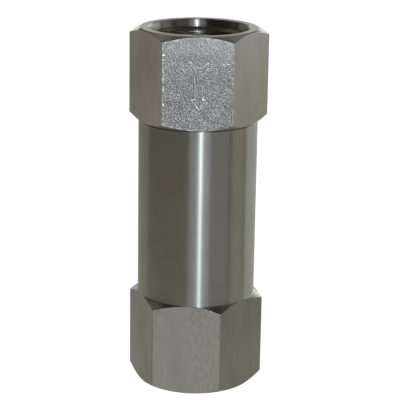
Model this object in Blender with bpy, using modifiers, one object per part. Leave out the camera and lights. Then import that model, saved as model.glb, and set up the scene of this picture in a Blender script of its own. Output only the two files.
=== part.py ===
"""In-line spring-loaded check valve with two threaded hexagon ends.

The valve stands upright on its outlet end. Flow enters the inlet cap at the top, pushes the
poppet down off its seat against a coil spring, passes the guide spider and leaves at the
bottom. Everything lies on the Z axis, with the origin in the middle of the outlet face.
All values are in metres.
"""

import math

import bpy
from mathutils import Matrix

# Outside of the valve
HEX_ACROSS_FLATS = 0.027
TOTAL_LENGTH = 0.0822
OUTLET_HEX_HEIGHT = 0.021
OUTLET_HEX_TURN = math.radians(-7.6)
BARREL_RADIUS = 0.01345
BARREL_TOP = 0.06115
BARREL_EDGE_CHAMFER = 0.0002
CHAMFER_CIRCLE_RADIUS = 0.0134
INLET_TOP_CIRCLE_RADIUS = 0.01324
INLET_TOP_CORNER_DROP = 0.00137
INLET_LOWER_CORNER_RISE = 0.00132
OUTLET_TOP_CORNER_DROP = 0.00140
OUTLET_LOWER_CORNER_RISE = 0.00155

# Gap left between pieces that touch, and between thin seals and their grooves
CONTACT_GAP = 0.0003
SEAL_GAP = 0.00025

# Threaded ports, drawn at the thread's inner diameter
PORT_RADIUS = 0.0093
PORT_MOUTH_RADIUS = 0.01135
PORT_DEPTH = 0.017
DRILL_POINT_ANGLE = math.radians(59.0)

# Passages inside the outlet body, from its top end down
JOINT_THREAD_RADIUS = 0.0110
JOINT_THREAD_BOTTOM = 0.0528
SEAL_BORE_RADIUS = 0.0100
SEAT_SHOULDER = 0.0440
CHAMBER_RADIUS = 0.0091
SPIDER_SHOULDER = 0.0210
THROAT_RADIUS = 0.0076

# Spigot of the inlet cap, which screws into the outlet body
SPIGOT_THREAD_RADIUS = 0.0107
SPIGOT_NECK_RADIUS = 0.0096
SPIGOT_NECK_TOP = 0.0540
SPIGOT_NOSE_RADIUS = 0.0097
SPIGOT_NOSE_BOTTOM = 0.0488
CAP_GROOVE_RADIUS = 0.0083
CAP_GROOVE_BOTTOM = 0.0495
CAP_GROOVE_TOP = 0.0525
FLOW_RADIUS = 0.0062

# Seat ring
SEAT_RING_BOTTOM = SEAT_SHOULDER + CONTACT_GAP
SEAT_RING_TOP = SPIGOT_NOSE_BOTTOM - CONTACT_GAP
SEAT_RING_RADIUS = 0.0097
SEAT_GROOVE_RADIUS = 0.0082
SEAT_GROOVE_BOTTOM = 0.0451
SEAT_GROOVE_TOP = 0.0477
SEAT_CONE_TOP = 0.0460
SEAT_CONE_RADIUS = 0.0077

# O-rings and back-up rings
O_RING_SECTION = 0.0011
BACKUP_THICKNESS = 0.0007

# Poppet disc, its soft seal and what clamps the seal
LIFT = 0.0040
DISC_RADIUS = 0.0072
DISC_BOTTOM = 0.0396
DISC_TOP = 0.0429
PILOT_RADIUS = 0.0034
PILOT_TOP = 0.0459
SEAL_BOTTOM = DISC_TOP + CONTACT_GAP
SEAL_EDGE_HEIGHT = 0.0013
SEAL_NOSE_RADIUS = 0.0058
RETAINER_RADIUS = 0.0056
RETAINER_HEIGHT = 0.0012
SCREWED_HOLE_RADIUS = 0.0018
LOCK_WASHER_RADIUS = 0.0030
LOCK_WASHER_HEIGHT = 0.0006
NUT_ACROSS_FLATS = 0.0055
NUT_HEIGHT = 0.0024

# Guide stem, from the thread at its top to the clip at its foot
STEM_THREAD_RADIUS = 0.0015
STEM_TOP = 0.0516
STEM_COLLAR_RADIUS = 0.0042
STEM_COLLAR_TOP = DISC_BOTTOM - CONTACT_GAP
STEM_COLLAR_BOTTOM = 0.0377
STEM_RADIUS = 0.0024
STEM_BOTTOM = 0.0218
CLIP_GROOVE_RADIUS = 0.0018
CLIP_GROOVE_TOP = 0.0231
CLIP_GROOVE_BOTTOM = 0.0222
CLIP_RADIUS = 0.0035
CLIP_BORE_RADIUS = 0.0021
CLIP_HEIGHT = 0.0005
CLIP_MOUTH = 0.0030
STEM_WASHER_RADIUS = 0.0036
STEM_WASHER_BORE_RADIUS = 0.00265
STEM_WASHER_HEIGHT = 0.0004

# Spring and the washers at its two ends
SPRING_COIL_RADIUS = 0.0056
SPRING_WIRE_RADIUS = 0.0005
SPRING_TURNS = 6.5
SPRING_END_TURNS = 1.0
SPRING_END_PITCH = 0.0013
SPRING_POINTS_PER_TURN = 18
SPRING_COLLAR_HEIGHT = 0.0006
SPRING_COLLAR_RADIUS = 0.0070
SPRING_WASHER_BORE_RADIUS = 0.0045
SHIM_RADIUS = 0.0069
SHIM_HEIGHT = 0.0006

# Guide spider and its bush
SPIDER_RADIUS = 0.0088
SPIDER_RIM_BORE_RADIUS = 0.0075
SPIDER_HEIGHT = 0.0030
SPIDER_BOTTOM = SPIDER_SHOULDER + CONTACT_GAP
HUB_FOOT_RADIUS = 0.0048
HUB_RADIUS = 0.0042
HUB_TOP = 0.0326
HUB_BORE_RADIUS = 0.0036
HUB_COUNTERBORE_RADIUS = 0.0039
HUB_COUNTERBORE_TOP = 0.0238
WEB_COUNT = 3
WEB_WIDTH = 0.0020
BUSH_RADIUS = 0.0033
BUSH_BORE_RADIUS = 0.00255
BUSH_FLANGE_RADIUS = 0.0040
BUSH_FLANGE_HEIGHT = 0.0005

# Facets around the large, medium and small turned pieces
BODY_STEPS = 64
RING_STEPS = 32
SMALL_STEPS = 32
O_RING_SIDES = 8
MERGE_DISTANCE = 0.000001
SHARP_ANGLE = math.radians(35.0)
CUT_OVERRUN = 0.002

HEX_CORNER_RADIUS = HEX_ACROSS_FLATS / 2.0 / math.cos(math.radians(30.0))
CAP_BOTTOM = BARREL_TOP + CONTACT_GAP
SPRING_BOTTOM = SPIDER_BOTTOM + SPIDER_HEIGHT + CONTACT_GAP + SHIM_HEIGHT + CONTACT_GAP
SPRING_TOP = STEM_COLLAR_TOP - SPRING_COLLAR_HEIGHT - CONTACT_GAP

# Finish of each material: colour, metallic, roughness
FINISHES = {
    "hexagon_steel": ((0.46, 0.45, 0.42, 1.0), 1.0, 0.38),
    "turned_steel": ((0.42, 0.40, 0.36, 1.0), 1.0, 0.30),
    "ground_steel": ((0.55, 0.54, 0.52, 1.0), 1.0, 0.22),
    "spring_steel": ((0.50, 0.49, 0.47, 1.0), 1.0, 0.28),
    "fluoro_rubber": ((0.020, 0.018, 0.017, 1.0), 0.0, 0.55),
    "white_ptfe": ((0.78, 0.77, 0.73, 1.0), 0.0, 0.45),
    "filled_ptfe": ((0.30, 0.22, 0.14, 1.0), 0.0, 0.50),
}


def clear_scene():
    """Empty the scene of whatever it holds at the start."""
    for item in list(bpy.data.objects):
        bpy.data.objects.remove(item, do_unlink=True)


def new_collection(name):
    """Add a collection to the scene."""
    collection = bpy.data.collections.new(name)
    bpy.context.scene.collection.children.link(collection)
    return collection


def make_material(name):
    """One Principled BSDF material from the table of finishes."""
    colour, metallic, roughness = FINISHES[name]
    material = bpy.data.materials.new(name)
    material.use_nodes = True
    shader = material.node_tree.nodes["Principled BSDF"]
    shader.inputs["Base Color"].default_value = colour
    shader.inputs["Metallic"].default_value = metallic
    shader.inputs["Roughness"].default_value = roughness
    material.diffuse_color = colour
    return material


def move_to(item, collection):
    """Keep an object in one collection only."""
    for owner in list(item.users_collection):
        owner.objects.unlink(item)
    collection.objects.link(item)


def turned(name, profile, steps, hollow, collection):
    """A turned shape from (radius, height) points that run down its outer side.

    A hollow profile is closed on itself; a solid one starts and ends on the axis.
    """
    edges = [(i, i + 1) for i in range(len(profile) - 1)]
    if hollow:
        edges.append((len(profile) - 1, 0))
    mesh = bpy.data.meshes.new(name)
    mesh.from_pydata([(radius, 0.0, height) for radius, height in profile], edges, [])
    item = bpy.data.objects.new(name, mesh)
    collection.objects.link(item)
    screw = item.modifiers.new("turn", "SCREW")
    screw.axis = "Z"
    screw.angle = math.tau
    screw.steps = steps
    screw.render_steps = steps
    screw.use_merge_vertices = True
    screw.merge_threshold = MERGE_DISTANCE
    return item


def ring(name, outer, inner, bottom, top, steps, collection):
    """A plain ring with a rectangular section."""
    profile = [(outer, top), (outer, bottom), (inner, bottom), (inner, top)]
    return turned(name, profile, steps, True, collection)


def prism(name, across_flats, bottom, top, turn, collection):
    """A hexagonal prism with two of its flats square to the Y axis before it is turned."""
    corner_radius = across_flats / 2.0 / math.cos(math.radians(30.0))
    bpy.ops.mesh.primitive_cylinder_add(vertices=6, radius=corner_radius, depth=top - bottom)
    item = bpy.context.active_object
    item.name = name
    item.data.name = name
    lift = Matrix.Translation((0.0, 0.0, (top + bottom) / 2.0))
    # the primitive starts with a corner on +Y
    item.data.transform(lift @ Matrix.Rotation(math.radians(30.0) + turn, 4, "Z"))
    move_to(item, collection)
    return item


def box(name, size, centre, turn, collection):
    """A box of the given size, moved to its centre and then turned about the Z axis."""
    bpy.ops.mesh.primitive_cube_add(size=1.0)
    item = bpy.context.active_object
    item.name = name
    item.data.name = name
    stretch = Matrix.Diagonal((size[0], size[1], size[2], 1.0))
    item.data.transform(Matrix.Rotation(turn, 4, "Z") @ Matrix.Translation(centre) @ stretch)
    move_to(item, collection)
    return item


def o_ring(name, radius, section, height, collection):
    """A round sealing ring."""
    bpy.ops.mesh.primitive_torus_add(
        major_radius=radius,
        minor_radius=section / 2.0,
        major_segments=RING_STEPS,
        minor_segments=O_RING_SIDES,
    )
    item = bpy.context.active_object
    item.name = name
    item.data.name = name
    item.data.transform(Matrix.Translation((0.0, 0.0, height)))
    move_to(item, collection)
    return item


def combine(item, operation, other):
    """Join, cut or intersect a piece with a construction shape, which stays hidden."""
    modifier = item.modifiers.new(operation.lower(), "BOOLEAN")
    modifier.operation = operation
    modifier.solver = "EXACT"
    modifier.object = other
    other.hide_render = True
    other.display_type = "WIRE"


def finish(item, material):
    """Settle the modifiers into the mesh, shade it by its edges and give it its material."""
    depsgraph = bpy.context.evaluated_depsgraph_get()
    mesh = bpy.data.meshes.new_from_object(item.evaluated_get(depsgraph))
    mesh.name = item.name
    item.modifiers.clear()
    item.data = mesh
    mesh.shade_smooth()
    mesh.set_sharp_from_angle(angle=SHARP_ANGLE)
    mesh.materials.clear()
    mesh.materials.append(material)
    return item


def chamfered_envelope(name, bottom, bottom_rise, top, top_drop, top_circle, collection):
    """Turned shape that cuts the corners of a hexagon back to a circle at both ends.

    Each chamfer is a cone from the circle at the end face to the hexagon's corners; it runs a
    little past them, so that it cuts every corner cleanly.
    """
    reach = 1.0 + 0.2
    span = (HEX_CORNER_RADIUS - CHAMFER_CIRCLE_RADIUS) * reach
    outer = CHAMFER_CIRCLE_RADIUS + span
    top_reach = (outer - top_circle) / (HEX_CORNER_RADIUS - top_circle)
    profile = [
        (0.0, top),
        (top_circle, top),
        (outer, top - top_drop * top_reach),
        (outer, bottom + bottom_rise * reach),
        (CHAMFER_CIRCLE_RADIUS, bottom),
        (0.0, bottom),
    ]
    return turned(name, profile, BODY_STEPS, False, collection)


def build_inlet_cap(pieces, cutters, material):
    """Upper hexagon with the inlet port and the spigot that screws into the outlet body."""
    envelope = chamfered_envelope(
        "cap_envelope",
        CAP_BOTTOM,
        INLET_LOWER_CORNER_RISE,
        TOTAL_LENGTH,
        INLET_TOP_CORNER_DROP,
        INLET_TOP_CIRCLE_RADIUS,
        cutters,
    )
    spigot_profile = [
        (0.0, CAP_BOTTOM + CUT_OVERRUN),
        (SPIGOT_THREAD_RADIUS, CAP_BOTTOM + CUT_OVERRUN),
        (SPIGOT_THREAD_RADIUS, SPIGOT_NECK_TOP),
        (SPIGOT_NECK_RADIUS, SPIGOT_NECK_TOP - (SPIGOT_THREAD_RADIUS - SPIGOT_NECK_RADIUS)),
        (SPIGOT_NOSE_RADIUS, CAP_GROOVE_TOP),
        (CAP_GROOVE_RADIUS, CAP_GROOVE_TOP),
        (CAP_GROOVE_RADIUS, CAP_GROOVE_BOTTOM),
        (SPIGOT_NOSE_RADIUS, CAP_GROOVE_BOTTOM),
        (SPIGOT_NOSE_RADIUS, SPIGOT_NOSE_BOTTOM),
        (0.0, SPIGOT_NOSE_BOTTOM),
    ]
    spigot = turned("cap_spigot", spigot_profile, BODY_STEPS, False, cutters)
    countersink_depth = PORT_MOUTH_RADIUS - PORT_RADIUS
    port_bottom = TOTAL_LENGTH - PORT_DEPTH
    drill_point = (PORT_RADIUS - FLOW_RADIUS) / math.tan(DRILL_POINT_ANGLE)
    passage_profile = [
        (0.0, TOTAL_LENGTH + CUT_OVERRUN),
        (PORT_MOUTH_RADIUS + CUT_OVERRUN, TOTAL_LENGTH + CUT_OVERRUN),
        (PORT_RADIUS, TOTAL_LENGTH - countersink_depth),
        (PORT_RADIUS, port_bottom),
        (FLOW_RADIUS, port_bottom - drill_point),
        (FLOW_RADIUS, SPIGOT_NOSE_BOTTOM - CUT_OVERRUN),
        (0.0, SPIGOT_NOSE_BOTTOM - CUT_OVERRUN),
    ]
    passage = turned("cap_passage", passage_profile, BODY_STEPS, False, cutters)
    cap = prism("inlet_cap", HEX_ACROSS_FLATS, CAP_BOTTOM, TOTAL_LENGTH, 0.0, pieces)
    combine(cap, "INTERSECT", envelope)
    combine(cap, "UNION", spigot)
    combine(cap, "DIFFERENCE", passage)
    finish(cap, material)


def build_outlet_body(pieces, cutters, material):
    """Lower hexagon and barrel in one piece, bored out in steps from the top."""
    envelope = chamfered_envelope(
        "body_envelope",
        0.0,
        OUTLET_LOWER_CORNER_RISE,
        OUTLET_HEX_HEIGHT,
        OUTLET_TOP_CORNER_DROP,
        CHAMFER_CIRCLE_RADIUS,
        cutters,
    )
    barrel_profile = [
        (0.0, BARREL_TOP),
        (BARREL_RADIUS - BARREL_EDGE_CHAMFER, BARREL_TOP),
        (BARREL_RADIUS, BARREL_TOP - BARREL_EDGE_CHAMFER),
        (BARREL_RADIUS, OUTLET_HEX_HEIGHT - CUT_OVERRUN),
        (0.0, OUTLET_HEX_HEIGHT - CUT_OVERRUN),
    ]
    barrel = turned("body_barrel", barrel_profile, BODY_STEPS, False, cutters)
    countersink_depth = PORT_MOUTH_RADIUS - PORT_RADIUS
    drill_point = (PORT_RADIUS - THROAT_RADIUS) / math.tan(DRILL_POINT_ANGLE)
    lead_in = JOINT_THREAD_RADIUS - SEAL_BORE_RADIUS
    passage_profile = [
        (0.0, BARREL_TOP + CUT_OVERRUN),
        (JOINT_THREAD_RADIUS, BARREL_TOP + CUT_OVERRUN),
        (JOINT_THREAD_RADIUS, JOINT_THREAD_BOTTOM + lead_in),
        (SEAL_BORE_RADIUS, JOINT_THREAD_BOTTOM),
        (SEAL_BORE_RADIUS, SEAT_SHOULDER),
        (CHAMBER_RADIUS, SEAT_SHOULDER),
        (CHAMBER_RADIUS, SPIDER_SHOULDER),
        (THROAT_RADIUS, SPIDER_SHOULDER),
        (THROAT_RADIUS, PORT_DEPTH + drill_point),
        (PORT_RADIUS, PORT_DEPTH),
        (PORT_RADIUS, countersink_depth),
        (PORT_MOUTH_RADIUS + CUT_OVERRUN, -CUT_OVERRUN),
        (0.0, -CUT_OVERRUN),
    ]
    passage = turned("body_passage", passage_profile, BODY_STEPS, False, cutters)
    body = prism("outlet_body", HEX_ACROSS_FLATS, 0.0, OUTLET_HEX_HEIGHT, OUTLET_HEX_TURN, pieces)
    combine(body, "INTERSECT", envelope)
    combine(body, "UNION", barrel)
    combine(body, "DIFFERENCE", passage)
    finish(body, material)


def build_seat(pieces, materials):
    """Metal seat ring, its O-ring and back-up ring."""
    profile = [
        (SEAT_RING_RADIUS, SEAT_RING_TOP),
        (SEAT_RING_RADIUS, SEAT_GROOVE_TOP),
        (SEAT_GROOVE_RADIUS, SEAT_GROOVE_TOP),
        (SEAT_GROOVE_RADIUS, SEAT_GROOVE_BOTTOM),
        (SEAT_RING_RADIUS, SEAT_GROOVE_BOTTOM),
        (SEAT_RING_RADIUS, SEAT_RING_BOTTOM),
        (SEAT_CONE_RADIUS, SEAT_RING_BOTTOM),
        (SEAT_CONE_RADIUS, SEAT_CONE_TOP - (SEAT_CONE_RADIUS - FLOW_RADIUS)),
        (FLOW_RADIUS, SEAT_CONE_TOP),
        (FLOW_RADIUS, SEAT_RING_TOP),
    ]
    seat = turned("seat_ring", profile, RING_STEPS, True, pieces)
    finish(seat, materials["ground_steel"])
    build_gland_rings(
        "seat", SEAT_GROOVE_RADIUS, SEAT_GROOVE_BOTTOM, SEAT_GROOVE_TOP, pieces, materials
    )


def build_gland_rings(prefix, groove_radius, groove_bottom, groove_top, pieces, materials):
    """O-ring at the foot of a groove and a plastic back-up ring at its top."""
    middle = (groove_radius + SEAL_BORE_RADIUS) / 2.0
    ring_height = groove_bottom + SEAL_GAP + O_RING_SECTION / 2.0
    seal = o_ring(prefix + "_o_ring", middle, O_RING_SECTION, ring_height, pieces)
    finish(seal, materials["fluoro_rubber"])
    backup = ring(
        prefix + "_backup_ring",
        SEAL_BORE_RADIUS - SEAL_GAP,
        groove_radius + SEAL_GAP,
        groove_top - SEAL_GAP - BACKUP_THICKNESS,
        groove_top - SEAL_GAP,
        RING_STEPS,
        pieces,
    )
    finish(backup, materials["white_ptfe"])


def build_poppet(pieces, cutters, materials):
    """Disc, soft seal, retainer, lock washer and nut, stacked on the guide stem."""
    disc_profile = [
        (PILOT_RADIUS, PILOT_TOP),
        (PILOT_RADIUS, DISC_TOP),
        (DISC_RADIUS, DISC_TOP),
        (DISC_RADIUS, DISC_BOTTOM + (DISC_RADIUS - SPRING_COLLAR_RADIUS)),
        (SPRING_COLLAR_RADIUS, DISC_BOTTOM),
        (SCREWED_HOLE_RADIUS, DISC_BOTTOM),
        (SCREWED_HOLE_RADIUS, PILOT_TOP),
    ]
    disc = turned("poppet_disc", disc_profile, RING_STEPS, True, pieces)
    finish(disc, materials["ground_steel"])

    edge_top = SEAL_BOTTOM + SEAL_EDGE_HEIGHT
    seal_profile = [
        (SEAL_NOSE_RADIUS, edge_top + (DISC_RADIUS - SEAL_NOSE_RADIUS)),
        (DISC_RADIUS, edge_top),
        (DISC_RADIUS, SEAL_BOTTOM),
        (PILOT_RADIUS + CONTACT_GAP, SEAL_BOTTOM),
        (PILOT_RADIUS + CONTACT_GAP, edge_top + (DISC_RADIUS - SEAL_NOSE_RADIUS)),
    ]
    seal = turned("poppet_seal", seal_profile, RING_STEPS, True, pieces)
    finish(seal, materials["filled_ptfe"])

    retainer_bottom = PILOT_TOP + CONTACT_GAP
    retainer_top = retainer_bottom + RETAINER_HEIGHT
    edge = RETAINER_HEIGHT / 3.0
    retainer_profile = [
        (RETAINER_RADIUS - edge, retainer_top),
        (RETAINER_RADIUS, retainer_top - edge),
        (RETAINER_RADIUS, retainer_bottom),
        (SCREWED_HOLE_RADIUS, retainer_bottom),
        (SCREWED_HOLE_RADIUS, retainer_top),
    ]
    retainer = turned("seal_retainer", retainer_profile, RING_STEPS, True, pieces)
    finish(retainer, materials["ground_steel"])

    washer_bottom = retainer_top + CONTACT_GAP
    washer_top = washer_bottom + LOCK_WASHER_HEIGHT
    washer = ring(
        "lock_washer", LOCK_WASHER_RADIUS, SCREWED_HOLE_RADIUS, washer_bottom, washer_top, SMALL_STEPS, pieces
    )
    split = box(
        "washer_split",
        (LOCK_WASHER_RADIUS * 2.0, CONTACT_GAP * 2.0, LOCK_WASHER_HEIGHT * 3.0),
        (LOCK_WASHER_RADIUS, 0.0, (washer_bottom + washer_top) / 2.0),
        math.radians(20.0),
        cutters,
    )
    combine(washer, "DIFFERENCE", split)
    finish(washer, materials["spring_steel"])

    nut_bottom = washer_top + CONTACT_GAP
    nut_top = nut_bottom + NUT_HEIGHT
    nut = prism("retainer_nut", NUT_ACROSS_FLATS, nut_bottom, nut_top, math.radians(11.0), pieces)
    nut_bore = turned(
        "nut_bore",
        [
            (0.0, nut_top + CUT_OVERRUN),
            (SCREWED_HOLE_RADIUS, nut_top + CUT_OVERRUN),
            (SCREWED_HOLE_RADIUS, nut_bottom - CUT_OVERRUN),
            (0.0, nut_bottom - CUT_OVERRUN),
        ],
        SMALL_STEPS,
        False,
        cutters,
    )
    combine(nut, "DIFFERENCE", nut_bore)
    finish(nut, materials["spring_steel"])


def build_stem(pieces, cutters, materials):
    """Guide stem with its stop collar, and the washer and clip at its foot."""
    profile = [
        (0.0, STEM_TOP),
        (STEM_THREAD_RADIUS, STEM_TOP),
        (STEM_THREAD_RADIUS, STEM_COLLAR_TOP),
        (STEM_COLLAR_RADIUS, STEM_COLLAR_TOP),
        (STEM_COLLAR_RADIUS, STEM_COLLAR_BOTTOM),
        (STEM_RADIUS, STEM_COLLAR_BOTTOM),
        (STEM_RADIUS, CLIP_GROOVE_TOP),
        (CLIP_GROOVE_RADIUS, CLIP_GROOVE_TOP),
        (CLIP_GROOVE_RADIUS, CLIP_GROOVE_BOTTOM),
        (STEM_RADIUS, CLIP_GROOVE_BOTTOM),
        (STEM_RADIUS, STEM_BOTTOM),
        (0.0, STEM_BOTTOM),
    ]
    stem = turned("guide_stem", profile, SMALL_STEPS, False, pieces)
    finish(stem, materials["ground_steel"])

    clip_bottom = (CLIP_GROOVE_TOP + CLIP_GROOVE_BOTTOM - CLIP_HEIGHT) / 2.0
    clip_top = clip_bottom + CLIP_HEIGHT
    clip = ring("stem_clip", CLIP_RADIUS, CLIP_BORE_RADIUS, clip_bottom, clip_top, SMALL_STEPS, pieces)
    mouth = box(
        "clip_mouth",
        (CLIP_RADIUS * 2.0, CLIP_MOUTH, CLIP_HEIGHT * 3.0),
        (CLIP_RADIUS, 0.0, (clip_bottom + clip_top) / 2.0),
        math.radians(-60.0),
        cutters,
    )
    combine(clip, "DIFFERENCE", mouth)
    finish(clip, materials["spring_steel"])

    washer_top = HUB_COUNTERBORE_TOP - SEAL_GAP
    washer = ring(
        "stem_washer",
        STEM_WASHER_RADIUS,
        STEM_WASHER_BORE_RADIUS,
        washer_top - STEM_WASHER_HEIGHT,
        washer_top,
        SMALL_STEPS,
        pieces,
    )
    finish(washer, materials["ground_steel"])


def coil_points():
    """Centre line of the spring wire: close turns at both ends, open turns between them."""
    count = round(SPRING_TURNS * SPRING_POINTS_PER_TURN)
    rise = SPRING_TOP - SPRING_BOTTOM - 2.0 * SPRING_WIRE_RADIUS
    open_turns = SPRING_TURNS - 2.0 * SPRING_END_TURNS
    open_pitch = (rise - 2.0 * SPRING_END_TURNS * SPRING_END_PITCH) / open_turns
    points = []
    for index in range(count + 1):
        turn = SPRING_TURNS * index / count
        lower = min(turn, SPRING_END_TURNS)
        upper = max(turn - SPRING_END_TURNS - open_turns, 0.0)
        middle = turn - lower - upper
        height = (lower + upper) * SPRING_END_PITCH + middle * open_pitch
        angle = math.tau * turn
        points.append(
            (
                SPRING_COIL_RADIUS * math.cos(angle),
                SPRING_COIL_RADIUS * math.sin(angle),
                SPRING_BOTTOM + SPRING_WIRE_RADIUS + height,
            )
        )
    return points


def build_spring(pieces, materials):
    """Coil spring with a washer at each end."""
    points = coil_points()
    curve = bpy.data.curves.new("spring", "CURVE")
    curve.dimensions = "3D"
    curve.bevel_depth = SPRING_WIRE_RADIUS
    curve.bevel_resolution = 2
    curve.use_fill_caps = True
    spline = curve.splines.new("POLY")
    spline.points.add(len(points) - 1)
    for point, place in zip(spline.points, points):
        point.co = (*place, 1.0)
    curve.materials.append(materials["spring_steel"])
    spring = bpy.data.objects.new("spring", curve)
    pieces.objects.link(spring)

    collar = ring(
        "spring_collar",
        SPRING_COLLAR_RADIUS,
        SPRING_WASHER_BORE_RADIUS,
        STEM_COLLAR_TOP - SPRING_COLLAR_HEIGHT,
        STEM_COLLAR_TOP,
        RING_STEPS,
        pieces,
    )
    finish(collar, materials["ground_steel"])
    shim_bottom = SPIDER_BOTTOM + SPIDER_HEIGHT + CONTACT_GAP
    shim = ring(
        "spring_shim",
        SHIM_RADIUS,
        SPRING_WASHER_BORE_RADIUS,
        shim_bottom,
        shim_bottom + SHIM_HEIGHT,
        RING_STEPS,
        pieces,
    )
    finish(shim, materials["ground_steel"])


def build_spider(pieces, cutters, materials):
    """Rim, webs and hub that carry the spring and guide the stem, and the bush in the hub."""
    spider_top = SPIDER_BOTTOM + SPIDER_HEIGHT
    hub_profile = [
        (HUB_RADIUS, HUB_TOP),
        (HUB_RADIUS, spider_top),
        (HUB_FOOT_RADIUS, spider_top),
        (HUB_FOOT_RADIUS, SPIDER_BOTTOM),
        (HUB_COUNTERBORE_RADIUS, SPIDER_BOTTOM),
        (HUB_COUNTERBORE_RADIUS, HUB_COUNTERBORE_TOP),
        (HUB_BORE_RADIUS, HUB_COUNTERBORE_TOP),
        (HUB_BORE_RADIUS, HUB_TOP),
    ]
    spider = turned("guide_spider", hub_profile, RING_STEPS, True, pieces)
    rim = ring(
        "spider_rim", SPIDER_RADIUS, SPIDER_RIM_BORE_RADIUS, SPIDER_BOTTOM, spider_top, RING_STEPS, cutters
    )
    combine(spider, "UNION", rim)
    inner = (HUB_COUNTERBORE_RADIUS + HUB_FOOT_RADIUS) / 2.0
    outer = (SPIDER_RIM_BORE_RADIUS + SPIDER_RADIUS) / 2.0
    inset = SEAL_GAP / 2.0
    for number in range(WEB_COUNT):
        web = box(
            f"spider_web_{number + 1}",
            (outer - inner, WEB_WIDTH, SPIDER_HEIGHT - 2.0 * inset),
            ((outer + inner) / 2.0, 0.0, (SPIDER_BOTTOM + spider_top) / 2.0),
            math.tau * number / WEB_COUNT + math.radians(90.0),
            cutters,
        )
        combine(spider, "UNION", web)
    finish(spider, materials["turned_steel"])

    flange_bottom = HUB_TOP + CONTACT_GAP
    flange_top = flange_bottom + BUSH_FLANGE_HEIGHT
    bush_bottom = HUB_COUNTERBORE_TOP + SEAL_GAP
    bush_profile = [
        (BUSH_FLANGE_RADIUS, flange_top),
        (BUSH_FLANGE_RADIUS, flange_bottom),
        (BUSH_RADIUS, flange_bottom),
        (BUSH_RADIUS, bush_bottom),
        (BUSH_BORE_RADIUS, bush_bottom),
        (BUSH_BORE_RADIUS, flange_top),
    ]
    bush = turned("guide_bush", bush_profile, SMALL_STEPS, True, pieces)
    finish(bush, materials["white_ptfe"])


def gather_poppet(pieces):
    """Hang every lifting piece on one empty that stands on the valve's axis at the seat."""
    travel = bpy.data.objects.new("poppet_travel", None)
    travel.empty_display_size = LIFT
    travel.location = (0.0, 0.0, SEAT_RING_BOTTOM)
    pieces.objects.link(travel)
    lifting = (
        "poppet_disc",
        "poppet_seal",
        "seal_retainer",
        "lock_washer",
        "retainer_nut",
        "guide_stem",
        "stem_washer",
        "stem_clip",
        "spring_collar",
    )
    for name in lifting:
        item = pieces.objects[name]
        item.parent = travel
        item.location = (0.0, 0.0, -SEAT_RING_BOTTOM)


def main():
    """Build the whole valve at rest, with the poppet closed."""
    clear_scene()
    pieces = new_collection("inline_check_valve")
    cutters = new_collection("construction_shapes")
    materials = {name: make_material(name) for name in FINISHES}
    build_inlet_cap(pieces, cutters, materials["hexagon_steel"])
    build_outlet_body(pieces, cutters, materials["turned_steel"])
    build_gland_rings("cap", CAP_GROOVE_RADIUS, CAP_GROOVE_BOTTOM, CAP_GROOVE_TOP, pieces, materials)
    build_seat(pieces, materials)
    build_poppet(pieces, cutters, materials)
    build_stem(pieces, cutters, materials)
    build_spring(pieces, materials)
    build_spider(pieces, cutters, materials)
    gather_poppet(pieces)


main()
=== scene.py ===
"""Threaded in-line check valve: its finished surfaces, materials, light and camera.

The packed frame says where every piece stands. Each operator below makes one piece, or one
group of like pieces, as surfaces worked out with numpy, and gives it a procedural finish.
"""

import math

import bpy
import numpy as np
from bpy.props import FloatProperty, FloatVectorProperty, PointerProperty
from bpy.types import Operator, Panel, PropertyGroup
from mathutils import Matrix, Vector


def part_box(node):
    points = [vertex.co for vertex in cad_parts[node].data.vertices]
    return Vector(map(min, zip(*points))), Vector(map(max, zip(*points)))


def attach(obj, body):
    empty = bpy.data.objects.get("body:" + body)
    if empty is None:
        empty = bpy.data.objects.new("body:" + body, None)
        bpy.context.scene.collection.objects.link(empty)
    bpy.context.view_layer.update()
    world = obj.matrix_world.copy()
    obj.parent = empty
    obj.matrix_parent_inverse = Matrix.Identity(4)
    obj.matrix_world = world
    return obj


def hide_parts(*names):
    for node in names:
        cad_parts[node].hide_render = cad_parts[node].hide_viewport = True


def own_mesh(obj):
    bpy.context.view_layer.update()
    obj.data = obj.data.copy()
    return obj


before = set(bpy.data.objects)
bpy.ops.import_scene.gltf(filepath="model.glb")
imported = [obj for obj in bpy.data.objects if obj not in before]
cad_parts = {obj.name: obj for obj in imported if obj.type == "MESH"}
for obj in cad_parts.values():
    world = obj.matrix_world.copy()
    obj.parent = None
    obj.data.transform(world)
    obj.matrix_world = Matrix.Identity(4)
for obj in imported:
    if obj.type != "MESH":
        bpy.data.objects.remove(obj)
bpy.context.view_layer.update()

bl_info = {
    "name": "Inline check valve",
    "version": (1, 0, 0),
    "blender": (4, 5, 0),
    "location": "3D View > Sidebar > Check valve",
    "description": "Builds the finished surfaces of a threaded inline check valve",
    "category": "Add Mesh",
}

MM = 0.001
TAU = 2.0 * math.pi
SHARP_ANGLE = math.radians(38.0)
EDGE_STEPS = 3
EDGE_SHARE = 0.4
EDGE_MARGIN = 1.12
SIXTY_DEGREES = math.radians(60.0)
THIRTY_DEGREES = math.radians(30.0)

CAP_LOW, CAP_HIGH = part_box("inlet_cap")
BODY_LOW, BODY_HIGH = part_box("outlet_body")
APOTHEM = CAP_HIGH.y
CORNER_RADIUS = CAP_HIGH.x
JOINT_GAP = 0.3 * MM
SEAM_GAP = 0.07 * MM
CAP_BOTTOM = BODY_HIGH.z + JOINT_GAP
BARREL_TOP = CAP_BOTTOM - SEAM_GAP


# ---------------------------------------------------------------------------------------
# Sizes and colours that can be changed
# ---------------------------------------------------------------------------------------


def length(name, text, default):
    """A size in metres, shown in the scene's length unit."""
    return FloatProperty(
        name=name,
        description=text,
        default=default,
        min=0.0,
        precision=5,
        subtype="DISTANCE",
        unit="LENGTH",
    )


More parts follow.
